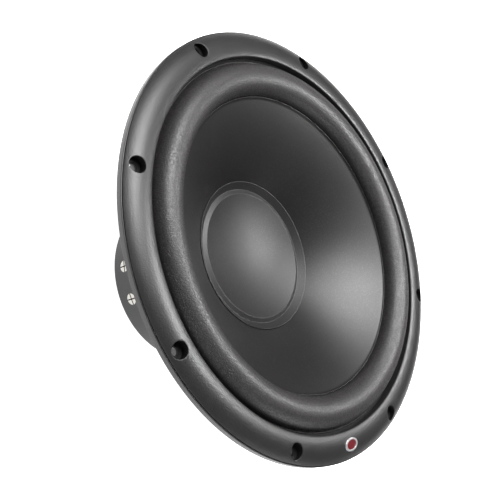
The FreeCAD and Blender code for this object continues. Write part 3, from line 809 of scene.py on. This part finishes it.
@dataclass
class TrimRing:
    """Moulded ring over the flange: crowned top with eight counterbored screw places, and an outer skirt."""

    outer_radius: float = 157.5
    crown_edge: float = 156.35
    crown_inner: float = 138.5
    lip_radius: float = 137.0
    foot_top: float = 3.2
    foot_radius: float = 143.1
    flange_top: float = 1.6
    flange_edge: float = 155.5
    bolt_circle: float = 148.75
    bolt_count: int = 8
    first_bolt: float = 22.5
    screw_radius: float = 2.75
    bore_radius: float = 5.5
    bore_floor: float = 3.6
    mouth_round: float = 0.45
    floor_round: float = 0.4
    screw_chamfer: float = 0.25
    lip_round: float = 1.3
    lip_drop: float = 0.1
    foot_round: float = 0.3
    skirt_top: float = 4.15
    skirt_round: float = 0.55
    groove: tuple[Corner, ...] = (Corner(0.55, 4.25, 0.1), Corner(0.35, 3.75, 0.12), Corner(0.12, 3.85, 0.1))
    crown_drop: float = 0.05
    crown_round: float = 0.35
    # How high up each bore's wall, and how far round it, the painted shade reaches.
    bore_shade_height: float = 3.6
    bore_shade_margin: float = 0.05
    patch_half: float = 4.7
    across: int = 18
    around: int = 14
    between: int = 30
    towards_mouth: tuple[float, ...] = (0.0, 0.2, 0.4, 0.6, 0.78, 0.9, 1.0)
    mouth_steps: int = 4
    from_screw: tuple[float, ...] = (0.3, 0.65, 1.0)

    def angles(self) -> list[float]:
        """Works out the mesh's columns, which are finer beside each screw place.

        Returns:
            The columns' angles, in degrees.
        """
        columns: list[float] = []
        pitch = 360 / self.bolt_count
        for i in range(self.bolt_count):
            middle = self.first_bolt + i * pitch
            start, end = middle - self.patch_half, middle + self.patch_half
            columns += np.linspace(start, end, self.around, endpoint=False).tolist()
            columns += np.linspace(end, start + pitch, self.between, endpoint=False).tolist()
        return columns

    def inner_run(self) -> list[Point]:
        """Draws the section from the crown's inner edge, over the lip and under the ring, to the flange.

        Returns:
            The section's points.
        """
        return outline([
            Corner(self.crown_inner, CROWN.height(self.crown_inner)),
            Corner(self.lip_radius, CROWN.height(self.lip_radius) - self.lip_drop, self.lip_round),
            Corner(self.lip_radius, self.foot_top, self.foot_round),
            Corner(self.foot_radius, self.foot_top),
            Corner(self.foot_radius, self.flange_top),
        ], 6)

    def outer_run(self) -> list[Point]:
        """Draws the section from the flange's edge, round the skirt and its parting groove, to the crown.

        Returns:
            The section's points.
        """
        edge = self.crown_edge
        inmost = edge + self.groove[-1].r
        return outline([
            Corner(self.flange_edge, self.flange_top),
            Corner(self.flange_edge, 0.0),
            Corner(self.outer_radius, 0.0, self.foot_round),
            Corner(self.outer_radius, self.skirt_top, self.skirt_round),
            *(Corner(edge + corner.r, corner.z, corner.radius) for corner in self.groove),
            Corner(inmost, CROWN.height(edge) - self.crown_drop, self.crown_round),
            Corner(edge, CROWN.height(edge)),
        ], 4)

    def build(self) -> list[Piece]:
        """Builds the ring.

        Returns:
            The finished pieces.
        """
        vertices: list = []
        faces: list = []

        def quad_strip(rows: Sequence[Sequence], closed: bool) -> None:
            """Joins rows of points with quads.

            Args:
                rows: rows of equal length.
                closed: whether the last column meets the first.
            """
            first, width = len(vertices), len(rows[0])
            for row in rows:
                vertices.extend(row)
            span = range(width if closed else width - 1)
            for i in range(len(rows) - 1):
                for j in span:
                    k = (j + 1) % width
                    a, b = first + i * width, first + (i + 1) * width
                    faces.append([a + j, a + k, b + k, b + j])

        columns = self.angles()
        for run in (self.inner_run(), self.outer_run()):
            quad_strip([[polar(r, a, z) for a in columns] for r, z in run], True)
        top = np.linspace(self.crown_inner, self.crown_edge, self.across + 1).tolist()
        under = np.linspace(self.foot_radius, self.flange_edge, self.across + 1).tolist()
        pitch = self.around + self.between
        for i in range(self.bolt_count):
            onward = (i + 1) % self.bolt_count * pitch
            plain = columns[i * pitch + self.around:(i + 1) * pitch] + [columns[onward]]
            quad_strip([[polar(r, a, CROWN.height(r)) for a in plain] for r in top], False)
            quad_strip([[polar(r, a, self.flange_top) for a in plain] for r in under], False)
            middle = self.first_bolt + i * 360 / self.bolt_count
            quad_strip(self.screw_place(middle, top, under), True)
        piece = Piece("trim_ring_moulding", CHASSIS, Finishes.RING, "trim_ring")
        piece.fill(vertices, faces, 40)
        # The floor and walls of each screw place get a near-black finish: painted shade.
        piece.second_finish(Finishes.PAINTED_SHADE, self.in_painted_bore_shade)
        return [piece.settle()]

    def in_painted_bore_shade(self, centre: Vector) -> bool:
        """Tells whether a face is down in a screw place, where shade is painted on its floor and walls.

        Args:
            centre: the face's centre.

        Returns:
            Whether it is.
        """
        pitch = 360 / self.bolt_count
        away = (math.degrees(math.atan2(centre.y, centre.x)) - self.first_bolt) % pitch
        turn = math.radians(min(away, pitch - away))
        r = math.hypot(centre.x, centre.y)
        aside = math.hypot(r * math.cos(turn) - self.bolt_circle, r * math.sin(turn))
        return aside < self.bore_radius + self.bore_shade_margin and centre.z < self.bore_floor + self.bore_shade_height

    def screw_place(self, middle: float, top: list[float], under: list[float]) -> list[list]:
        """Lays rows from the crown patch's edge, in to the bore, down through the ring, and out underneath.

        Args:
            middle: angle of the hole.
            top: radii of the crown's rows.
            under: radii of the underside's rows.

        Returns:
            Rows of points, all of the same length.
        """
        side = np.linspace(middle - self.patch_half, middle + self.patch_half, self.around + 1).tolist()

        def border(radii: list[float]) -> list[Point]:
            """Goes once round the patch.

            Args:
                radii: radii of the patch's rows.

            Returns:
                (radius, angle) pairs.
            """
            loop = [(radii[0], a) for a in side[:-1]] + [(r, side[-1]) for r in radii[:-1]]
            loop += [(radii[-1], a) for a in side[:0:-1]] + [(r, side[0]) for r in radii[:0:-1]]
            return loop

        def local(r: float, a: float) -> Vector:
            """Point of the plan, measured from the hole's centre in its own directions."""
            turn = math.radians(a - middle)
            return Vector((r * math.cos(turn) - self.bolt_circle, r * math.sin(turn)))

        def row(points: Iterable[Vector], height: Callable[[float], float]) -> list:
            """Lifts plan points into place.

            Args:
                points: points as local() gives them.
                height: gives the height at a radius.

            Returns:
                The points, in the frame.
            """
            made = []
            for p in points:
                r = math.hypot(p.x + self.bolt_circle, p.y)
                a = math.degrees(math.atan2(p.y, p.x + self.bolt_circle)) + middle
                made.append(polar(r, a, height(r)))
            return made

        upper = [local(r, a) for r, a in border(top)]
        lower = [local(r, a) for r, a in border(under)]
        ways = [p.normalized() for p in upper]
        mouth = self.bore_radius + self.mouth_round
        rows = []
        for share in self.towards_mouth:
            rows.append(row([u.lerp(w * mouth, share) for u, w in zip(upper, ways)], CROWN.height))
        for i in range(1, self.mouth_steps + 1):
            turn = math.pi / 2 * i / self.mouth_steps
            ring = mouth - self.mouth_round * math.sin(turn)
            drop = self.mouth_round * (1 - math.cos(turn))
            rows.append(row([w * ring for w in ways], lambda r, d=drop: CROWN.height(r) - d))
        midway = self.floor_round * 0.3
        for radius, z in (
            (self.bore_radius, self.bore_floor + self.floor_round),
            (self.bore_radius - midway, self.bore_floor + midway),
            (self.bore_radius - self.floor_round, self.bore_floor),
            (self.screw_radius + self.screw_chamfer, self.bore_floor),
            (self.screw_radius, self.bore_floor - self.screw_chamfer),
            (self.screw_radius, self.flange_top),
        ):
            rows.append(row([w * radius for w in ways], lambda r, z=z: z))
        for share in self.from_screw:
            points = [(w * self.screw_radius).lerp(p, share) for p, w in zip(lower, ways)]
            rows.append(row(points, lambda r: self.flange_top))
        return rows


def polar(r: float, angle: float, z: float) -> tuple[float, float, float]:
    """Point at a radius and an angle in degrees."""
    return (r * math.cos(math.radians(angle)), r * math.sin(math.radians(angle)), z)


@dataclass
class Badge:
    """Small oval plate let into the crown: a satin bezel round a plain enamel inlay."""

    half_length: float = 7.0
    half_width: float = 4.6
    radius: float = 147.0
    sunk: float = 1.2
    proud: float = 0.6
    rim: float = 1.1
    inlay_depth: float = 0.8
    inlay_set_back: float = 0.08
    inlay_dome: tuple[Point, ...] = ((1.0, 0.2), (0.97, 0.12), (0.85, 0.05), (0.5, 0.0), (0, 0.0))
    segments: int = 72

    def oval(self, name: str, finish: Finishes, section: list[Point], margin: float) -> Piece:
        """Builds one oval piece.

        Args:
            name: the piece's name, which is the node's name and one more word.
            finish: its finish.
            section: half its section, for a radius of 1.
            margin: how much smaller than the badge it is.

        Returns:
            The finished piece.
        """
        vertices, faces = lathe(section, self.segments)
        tilt = Matrix.Rotation(math.asin((self.radius - CROWN.centre_r) / CROWN.radius), 3, "X")
        seat = Vector((0, -self.radius, CROWN.height(self.radius)))
        long, wide = self.half_length - margin, self.half_width - margin
        placed = [tuple(tilt @ Vector((x * long, y * wide, z)) + seat) for x, y, z in vertices]
        piece = Piece(name, CHASSIS, finish, name.rsplit("_", 1)[0])
        piece.fill(placed, faces, 50)
        return piece.settle()

    def build(self) -> list[Piece]:
        """Builds the bezel and the inlay.

        Returns:
            The finished pieces.
        """
        inner = 1 - self.rim / self.half_width
        bezel = outline([
            Corner(inner, -self.sunk * 0.5),
            Corner(inner, self.proud, 0.05),
            Corner(1.0, self.proud - 0.05, 0.09),
            Corner(1.0, -self.sunk),
            Corner(inner, -self.sunk),
        ], 5)
        floor, top = self.proud - self.inlay_depth, self.proud - self.inlay_set_back
        dome = [(share, top - drop) for share, drop in self.inlay_dome]
        return [
            self.oval("badge_bezel_plate", Finishes.BEZEL, bezel, 0),
            self.oval("badge_inlay_enamel", Finishes.ENAMEL, [(0, floor), (1.0, floor), *dome], self.rim),
        ]


# ---------------------------------------------------------------- surround, cone, dust cap


@dataclass
class Surround:
    """Foam half-roll with an outer foot under the trim ring and an inner lap under the cone's rim."""

    roll_radius: float = 122.0
    section: float = 12.1
    wall: float = 2.0
    base: float = 1.6
    foot: float = 1.6
    foot_outer: float = 143.0
    lap_inner: float = 104.0
    cone_wall: float = 0.9
    gap: float = 0.3
    fillet: float = 0.4
    bead: tuple[Point, ...] = ((1.35, 0.0), (1.1, 0.3), (0.75, 0.45), (0.4, 0.3), (0.15, -0.1), (-0.02, -0.3))
    bead_width: float = 1.0
    steps: int = 40

    def arc(self, radius: float, start: float, end: float) -> list[Point]:
        """Draws an arc about the roll's centre.

        Args:
            radius: the arc's radius.
            start: the angle that it starts at, in radians.
            end: the angle that it ends at.

        Returns:
            The arc's points.
        """
        turns = [start + (end - start) * i / self.steps for i in range(self.steps + 1)]
        return [(self.roll_radius + radius * math.cos(t), self.base + radius * math.sin(t)) for t in turns]

    def build(self) -> list[Piece]:
        """Builds the surround and blends it from the chassis to the cone.

        Returns:
            The finished pieces.
        """
        slope = math.cos(math.radians(CONE_LINE.rim_slope))
        under = (self.cone_wall + self.gap) / slope
        lap = self.foot / slope
        low, high = self.roll_radius - self.section, self.roll_radius + self.section
        foot_top = self.base + self.foot
        seat = CONE_LINE.rim_z - under
        lap_z = CONE_LINE.height(self.lap_inner) - under
        points: list[Point] = [(self.foot_outer, self.base), (self.foot_outer, foot_top)]
        points += [(high + out, foot_top + up) for out, up in self.bead]
        points += self.arc(self.section, math.asin(self.foot / self.section), math.pi)
        points += [(low, seat + self.fillet), (low - self.fillet, seat)]
        points += [(self.lap_inner, lap_z), (self.lap_inner, lap_z - lap), (low + self.wall, seat - lap)]
        points += self.arc(self.section - self.wall, math.pi, 0.0)
        piece = Piece("surround_roll", CHASSIS, Finishes.FOAM, "surround")
        piece.fill(*lathe(points, 360), 40)
        # The foot outside the bead, in the gap under the trim ring's lip, gets a near-black finish: painted
        # shade.
        glued = high + self.bead_width
        piece.second_finish(Finishes.PAINTED_SHADE, lambda centre: math.hypot(centre.x, centre.y) > glued)
        piece.blend_round(high, low)
        return [piece.settle()]


@dataclass
class Diaphragm:
    """Cone and inverted dust cap."""

    wall: float = 0.9
    neck: float = 25.7
    collar: float = 4.0
    ridge_r: float = 47.7
    ridge_z: float = -37.7056
    groove_r: float = 51.1
    dish: float = 10.1
    ridge_width: float = 0.9
    rim_bead: float = 0.42
    rim_front: float = 1.0
    rim_back: float = 0.35
    chamfer: float = 0.05
    bead_start: float = -20.0
    bead_turn: float = 220.0
    bead_steps: int = 6
    bead_drop: float = 0.1
    steps: int = 36

    def build(self) -> list[Piece]:
        """Builds both."""
        return [self.build_cone(), self.build_cap()]

    def build_cone(self) -> Piece:
        """Builds the cone, with a small rolled edge at its rim.

        Returns:
            The finished piece.
        """
        line = CONE_LINE
        down = self.wall / math.cos(math.radians(line.rim_slope))
        front = line.arc.run(line.rim_r - self.rim_front, line.seam_r, self.steps)
        behind = line.arc.run(line.rim_r - self.rim_back, line.seam_r, self.steps)
        back = [(r, z - down) for r, z in reversed(behind)]
        neck_z = line.height(self.neck)
        collar_r, collar_z = self.neck + self.wall, neck_z - self.collar
        inside = [(self.neck, neck_z), (self.neck, collar_z), (collar_r, collar_z)]
        inside.append((collar_r, line.height(collar_r) - down))
        edge_z = line.height(line.rim_r)
        bead = self.rim_bead
        edge = [(line.rim_r - self.chamfer, edge_z - down + self.chamfer * 3)]
        edge += [(line.rim_r, edge_z - down / 2), (line.rim_r, edge_z)]
        for i in range(self.bead_steps + 1):
            turn = math.radians(self.bead_start + self.bead_turn * i / self.bead_steps)
            r, z = line.rim_r - bead + bead * math.cos(turn), edge_z + bead * math.sin(turn) - self.bead_drop
            edge.append((r, z))
        piece = Piece("cone_shell", CONE_BODY, Finishes.CONE, "cone")
        piece.fill(*lathe(front + inside + back + edge, 360), 40)
        return piece.settle()

    def build_cap(self) -> Piece:
        """Builds the dust cap: glued foot, groove, raised ridge and concave dish.

        Returns:
            The finished piece.
        """
        line = CONE_LINE
        rise = self.wall * math.hypot(1, line.seam_slope)
        centre = self.ridge_z - self.dish
        bowl = (self.ridge_r**2 + self.dish**2) / (2 * self.dish)

        def dish_z(r: float) -> float:
            """Height of the dish at a radius."""
            return centre + bowl - math.sqrt(bowl**2 - r**2)

        radii = np.linspace(0, self.ridge_r - self.ridge_width, self.steps).tolist()
        top = [(r, dish_z(r)) for r in radii]
        groove_z = line.height(self.groove_r) + rise
        crest = outline([
            Corner(radii[-1], dish_z(radii[-1])),
            Corner(self.ridge_r, self.ridge_z, 0.7),
            Corner(self.groove_r, groove_z, 0.6),
            Corner(line.seam_r, line.seam_z + rise, 0.45),
            Corner(line.seam_r, line.seam_z),
            Corner(self.groove_r, line.height(self.groove_r)),
            Corner(self.ridge_r, self.ridge_z - rise, 0.4),
            Corner(radii[-1], dish_z(radii[-1]) - self.wall),
        ], 5)
        below = [(r, z - self.wall) for r, z in reversed(top)]
        piece = Piece("dust_cap_dish", CONE_BODY, Finishes.CAP, "dust_cap")
        piece.fill(*lathe(top[:-1] + crest + below[1:], 300), 50)
        return piece.settle()


# ---------------------------------------------------------------- spider, windings, leads, springs


@dataclass
class Spider:
    """Corrugated cloth disc between the basket's shelf and the coil former."""

    inner: float = 26.0
    collar: float = 3.0
    wave_end: float = 73.2
    foot: float = 6.0
    height: float = -68.1
    thickness: float = 0.6
    waves: int = 4
    wave_height: float = 1.674
    steps: int = 12

    def build(self) -> list[Piece]:
        """Builds the spider and blends it from the chassis to the cone.

        Returns:
            The finished pieces.
        """
        start = self.inner + self.collar
        middle: list[Point] = [(self.inner, self.height)]
        count = 2 * self.waves * self.steps
        for i in range(count + 1):
            share = i / count
            lift = self.wave_height * math.sin(2 * math.pi * self.waves * share)
            middle.append((start + (self.wave_end - start) * share, self.height + lift))
        middle.append((self.wave_end + self.foot, self.height))
        half = self.thickness / 2
        section = [(r, z + half) for r, z in middle] + [(r, z - half) for r, z in reversed(middle)]
        piece = Piece("spider_disc", CHASSIS, Finishes.CLOTH, "spider")
        piece.fill(*lathe(section, 240), 60)
        piece.blend_round(self.wave_end, start)
        return [piece.settle()]


@dataclass
class Windings:
    """Two layers of enamelled wire on the former, turn by turn."""

    inner: float = 25.7
    layer: float = 1.0
    rear: float = -103.0
    length: float = 25.0
    turns: int = 40
    wire: tuple[Point, ...] = ((0.06, 0.72), (0.3, 0.96), (0.5, 1.0), (0.7, 0.96), (0.94, 0.72))

    def build(self) -> list[Piece]:
        """Builds both windings.

        Returns:
            The finished pieces.
        """
        pieces = []
        pitch = self.length / self.turns
        for index, name in enumerate(("inner", "outer")):
            low = self.inner + index * self.layer
            section: list[Point] = [(low, self.rear)]
            for i in range(self.turns):
                for share, lift in self.wire:
                    section.append((low + self.layer * lift, self.rear + (i + share) * pitch))
            section.append((low, self.rear + self.length))
            node = f"voice_coil_{name}_winding"
            piece = Piece(f"{node}_wire", CONE_BODY, Finishes.COPPER, node)
            piece.fill(*lathe(section, 96), 60)
            pieces.append(piece.settle())
        return pieces


@dataclass(frozen=True)
class Terminal:
    """One push terminal: its name, its angle round the axis, and the side that its lead bows to."""

    name: str
    angle: float
    bow: float

    @property
    def spin(self) -> Matrix:
        """Turns +X to the terminal's direction."""
        return Matrix.Rotation(math.radians(self.angle), 3, "Z")


@dataclass
class TinselLead:
    """Braided lead from a terminal tab to the coil former, bowed sideways for slack."""

    terminal: Terminal
    start: float = 57.2
    end: float = 26.0
    low: float = -80.5
    high: float = -72.6
    radius: float = 0.8
    strands: int = 6
    lobe: float = 0.1
    twist_per_mm: float = 0.9
    step_mm: float = 0.55
    held: float = 3.0

    def route(self) -> list[Vector]:
        """Gives the lead's chosen points, for a terminal on +X.

        Returns:
            The points, from the tab to the former.
        """
        bow = self.terminal.bow
        span, rise = self.start - self.end, self.high - self.low
        return [
            Vector((self.start, 0, self.low)),
            Vector((self.start - 0.19 * span, bow * 1.4, self.low + 0.05 * rise)),
            Vector((self.start - 0.38 * span, bow * 6.4, self.low + 0.25 * rise)),
            Vector((self.start - 0.64 * span, bow * 7.8, self.low + 0.65 * rise)),
            Vector((self.start - 0.83 * span, bow * 2.2, self.low + 0.95 * rise)),
            Vector((self.end, 0, self.high)),
        ]

    def smooth(self, points: list[Vector], steps: int = 14) -> list[Vector]:
        """Draws the quadratic spline whose control points are the route's.

        Args:
            points: the route.
            steps: segments to each inner point.

        Returns:
            The spline's points.
        """
        halfway = [a.lerp(b, 0.5) for a, b in zip(points[1:-2], points[2:-1])]
        middles = [points[0], *halfway, points[-1]]
        path = [points[0]]
        for start, corner, end in zip(middles, points[1:-1], middles[1:]):
            for i in range(1, steps + 1):
                t = i / steps
                path.append(start * (1 - t) ** 2 + corner * (2 * t * (1 - t)) + end * t**2)
        return path

    def section(self, step: int) -> list[Point]:
        """Gives the lobed section, which turns along the lead so that the strands show.

        Args:
            step: how many steps along the path it is.

        Returns:
            The section's points.
        """
        turn = step * self.step_mm * self.twist_per_mm
        sides = self.strands * 4
        points = []
        for i in range(sides):
            a = 2 * math.pi * i / sides
            r = self.radius * (1 - self.lobe + self.lobe * math.cos(self.strands * (a + turn)))
            points.append((r * math.cos(a), r * math.sin(a)))
        return points

    def build(self) -> list[Piece]:
        """Builds the lead and blends it from the chassis to the cone.

        Returns:
            The finished pieces.
        """
        spin = self.terminal.spin
        vertices, faces = tube(self.smooth(self.route()), self.section)
        node = f"tinsel_lead_{self.terminal.name}"
        piece = Piece(f"{node}_braid", CHASSIS, Finishes.TINSEL, node)
        piece.fill([tuple(spin @ Vector(v)) for v in vertices], faces, 80)
        way = spin @ Vector((1, 0, 0)) * MM
        piece.blend(way * (self.start - self.held), way * (self.end + self.held))
        return [piece.settle()]


@dataclass
class PlungerSpring:
    """Coil spring behind a plunger, which flattens as the plunger goes in; the mesh stays at its rest length.
    """

    terminal: Terminal
    low: float = 59.3
    high: float = 62.9
    height: float = -96.8
    coil: float = 2.45
    wire: float = 0.28
    turns: float = 4.5
    wire_sides: int = 8
    steps: int = 24
    travel: float = 2.2

    def build(self) -> list[Piece]:
        """Builds the spring, on a mesh of its own.

        Returns:
            The finished pieces.
        """
        count = int(self.turns * self.steps)
        run = self.high - self.low - 2 * self.wire
        spin = self.terminal.spin
        path = []
        for i in range(count + 1):
            a = 2 * math.pi * i / self.steps
            x = self.low + self.wire + run * i / count
            path.append(spin @ Vector((x, self.coil * math.cos(a), self.height + self.coil * math.sin(a))))
        turns = [math.tau * k / self.wire_sides for k in range(self.wire_sides)]
        ring = [(self.wire * math.cos(a), self.wire * math.sin(a)) for a in turns]
        node = f"terminal_spring_{self.terminal.name}"
        piece = Piece(f"{node}_coil", CHASSIS, Finishes.SPRING, node)
        piece.fill(*tube(path, lambda _: ring), 60)
        piece.settle()
        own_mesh(piece.thing)
        return [piece]


# ---------------------------------------------------------------- parts kept at their CAD shape


@dataclass
class FinishedPart:
    """A CAD piece whose shape is right: it gets its finish and softened edges."""

    node: str
    body: str
    finish: Finishes
    edge: float
    flat_angle: float = 0.6
    sharp_angle: float = 40.0

    def build(self) -> list[Piece]:
        """Makes the piece from the node's own mesh, with its sharp edges rounded by `edge` millimetres.

        Returns:
            The finished pieces.
        """
        piece = Piece(f"{self.node}_part", self.body, self.finish, self.node)
        work = bmesh.new()
        work.from_mesh(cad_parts[self.node].data)
        bmesh.ops.remove_doubles(work, verts=work.verts, dist=2 * WELD)
        flat, sharp = math.radians(self.flat_angle), math.radians(self.sharp_angle)
        bmesh.ops.dissolve_limit(work, angle_limit=flat, verts=work.verts, edges=work.edges)
        if self.edge > 0:
            edges = [e for e in work.edges if e.is_manifold and e.calc_face_angle(0.0) > sharp]
            width = self.edge * MM
            bmesh.ops.bevel(
                work, geom=edges, offset=width, segments=2, profile=0.5, affect="EDGES", clamp_overlap=True
            )
        work.to_mesh(piece.mesh)
        work.free()
        flat_faced_normals(piece.mesh)
        self.detail(piece)
        return [piece.settle()]

    def detail(self, piece: Piece) -> None:
        """Adds nothing to a plain part; a part with more than one finish overrides this."""


@dataclass
class Plunger(FinishedPart):
    """A terminal's plunger, with painted shade on the floors and walls of the slots across its cap."""

    angle: float = 0.0
    height: float = -96.8
    slot_low: float = 74.7
    slot_high: float = 75.48
    slot_reach: float = 3.95

    def detail(self, piece: Piece) -> None:
        """Paints shade on the floors and walls of the slots, with the black oxide finish.

        Args:
            piece: the filled piece.
        """
        way = Vector(polar(1.0, self.angle, 0.0))

        def in_slot_shade(centre: Vector) -> bool:
            """Tells whether a face is down in a slot, where shade is painted.

            Args:
                centre: the face's centre.

            Returns:
                Whether it is.
            """
            out = centre.dot(way)
            aside = (centre - way * out - Vector((0, 0, self.height))).length
            return self.slot_low < out < self.slot_high and aside < self.slot_reach

        # The slots get the black oxide finish as painted shade.
        piece.second_finish(Finishes.SCREW, in_slot_shade)


# ---------------------------------------------------------------- studio


@dataclass
class SoftLight:
    """Square soft box aimed at the speaker; its lengths are metres."""

    name: str
    towards: tuple[float, float, float]
    watts: float
    size: float
    distance: float = 1.3

    def build(self) -> None:
        """Places the light along its direction from the speaker."""
        light = bpy.data.lights.new(self.name, "AREA")
        light.energy = self.watts
        light.size = self.size
        holder = bpy.data.objects.new(self.name, light)
        bpy.context.scene.collection.objects.link(holder)
        way = Vector(self.towards).normalized()
        holder.location = way * self.distance
        holder.rotation_euler = way.to_track_quat("Z", "Y").to_euler()


@dataclass
class Studio:
    """Pale floor, soft lights and the camera; its lengths are metres."""

    floor_grey: float = 0.93
    floor_glow: float = 1.1
    floor_reach: float = 6.0
    floor_mottle_mm: float = 400.0
    sky: float = 0.12
    azimuth: float = 187.44
    elevation: float = 40.72
    roll: float = 71.74
    distance: float = 0.62
    look_at: tuple[float, float, float] = (-0.0291, 0.0006, -0.0149)
    lens: float = 63.45
    sensor: float = 36.0
    lights: tuple[SoftLight, ...] = field(default_factory=lambda: (
        SoftLight("overhead_softbox", (0.07, 0.49, 0.87), 23.0, 0.66),
        SoftLight("cone_softbox", (-0.12, 0.36, 0.92), 4.0, 0.4),
        SoftLight("far_softbox", (0.45, 0.30, 0.84), 1.0, 0.6),
        SoftLight("crest_softbox", (0.57, -0.01, 0.82), 6.2, 0.2, 0.82),
        SoftLight("front_softbox", (0.20, -0.97, 0.25), 4.0, 0.6),
        SoftLight("near_softbox", (-0.65, -0.60, 0.42), 2.0, 0.6),
    ))

    def build_floor(self) -> None:
        """Lays the floor at the foot of the speaker."""
        level, reach = cad_box[0][2], self.floor_reach
        mesh = bpy.data.meshes.new("studio_floor")
        corners = ((-reach, -reach), (reach, -reach), (reach, reach), (-reach, reach))
        mesh.from_pydata([(x, y, level) for x, y in corners], [], [(0, 1, 2, 3)])
        floor = bpy.data.objects.new("studio_floor", mesh)
        bpy.context.scene.collection.objects.link(floor)
        shader = Shader("studio_floor")
        grey = self.floor_grey
        shader.surface_set(
            Base_Color=shader.mix(shader.noise(self.floor_mottle_mm), (grey,) * 3, (grey * 0.99,) * 3),
            Roughness=0.9,
            Specular_IOR_Level=0.1,
            Emission_Color=(1, 1, 1, 1),
            Emission_Strength=self.floor_glow,
        )
        mesh.materials.append(shader.material)

    def build_camera(self) -> None:
        """Sets the camera at its azimuth, elevation and roll."""
        az, el = math.radians(self.azimuth), math.radians(self.elevation)
        back = Vector((math.cos(el) * math.cos(az), math.cos(el) * math.sin(az), math.sin(el)))
        level = Vector((0, 0, 1)).cross(back).normalized()
        right = Matrix.Rotation(math.radians(self.roll), 3, back) @ level
        up = back.cross(right)
        data = bpy.data.cameras.new("studio_camera")
        data.lens, data.sensor_width = self.lens, self.sensor
        camera = bpy.data.objects.new("studio_camera", data)
        bpy.context.scene.collection.objects.link(camera)
        turn = Matrix((right, up, back)).transposed().to_4x4()
        camera.matrix_world = Matrix.Translation(Vector(self.look_at) + back * self.distance) @ turn
        bpy.context.scene.camera = camera

    def build(self) -> None:
        """Builds floor, sky, lights and camera."""
        scene = bpy.context.scene
        scene.view_settings.view_transform = "Standard"
        scene.world = bpy.data.worlds.new("studio_sky")
        scene.world.use_nodes = True
        sky = scene.world.node_tree.nodes["Background"]
        sky.inputs["Color"].default_value = (1, 1, 1, 1)
        sky.inputs["Strength"].default_value = self.sky
        self.build_floor()
        self.build_camera()
        for light in self.lights:
            light.build()


# ---------------------------------------------------------------- the speaker


class Assembly(Protocol):
    """What every sub-assembly and part can do."""

    def build(self) -> list[Piece]:
        """Builds the finished pieces."""


@dataclass
class Speaker:
    """The whole driver."""

    half_angle: float = 9.35

    def terminals(self) -> list[Terminal]:
        """Lists the terminals: two beside -X and two beside +X.

        Returns:
            The four terminals.
        """
        half = self.half_angle
        return [
            Terminal("left_upper", 180 - half, -1.0),
            Terminal("left_lower", 180 + half, 1.0),
            Terminal("right_upper", half, 1.0),
            Terminal("right_lower", -half, -1.0),
        ]

    def fixed_parts(self) -> list[FinishedPart]:
        """Lists the parts that keep their CAD shape.

        Returns:
            The parts.
        """
        parts = [
            FinishedPart("basket", CHASSIS, Finishes.COAT, 0.3),
            FinishedPart("motor_boot", CHASSIS, Finishes.BOOT, 0.35),
            FinishedPart("yoke", CHASSIS, Finishes.ZINC, 0.4),
            FinishedPart("top_plate", CHASSIS, Finishes.ZINC, 0.3),
            FinishedPart("ferrite_magnet", CHASSIS, Finishes.FERRITE, 0.4),
            FinishedPart("motor_screws", CHASSIS, Finishes.SCREW, 0.12),
            FinishedPart("voice_coil_former", CONE_BODY, Finishes.FORMER, 0.0),
            FinishedPart("terminal_block_left", CHASSIS, Finishes.TERMINAL, 0.3),
            FinishedPart("terminal_block_right", CHASSIS, Finishes.TERMINAL, 0.3),
        ]
        for end in self.terminals():
            plunger = f"plunger_{end.name}"
            parts += [
                FinishedPart(f"terminal_barrel_{end.name}", CHASSIS, Finishes.NICKEL, 0.15),
                FinishedPart(f"terminal_tab_{end.name}", CHASSIS, Finishes.NICKEL, 0.08),
                Plunger(f"terminal_{plunger}", plunger, Finishes.NICKEL, 0.1, angle=end.angle),
            ]
        return parts

    def assemblies(self) -> list[Assembly]:
        """Lists everything on the speaker, in the order of building.

        Returns:
            The sub-assemblies and parts.
        """
        made: list[Assembly] = [TrimRing(), Badge(), Surround(), Diaphragm(), Spider(), Windings()]
        made += self.fixed_parts()
        for end in self.terminals():
            made += [TinselLead(end), PlungerSpring(end)]
        return made


def main() -> None:
    """Builds and reports the speaker's pieces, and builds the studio."""
    for assembly in Speaker().assemblies():
        for piece in assembly.build():
            log.info("%s: %d faces on %s", piece.name, len(piece.mesh.polygons), piece.body)
    Studio().build()
    bpy.context.view_layer.update()


if __name__ == "__main__":
    main()
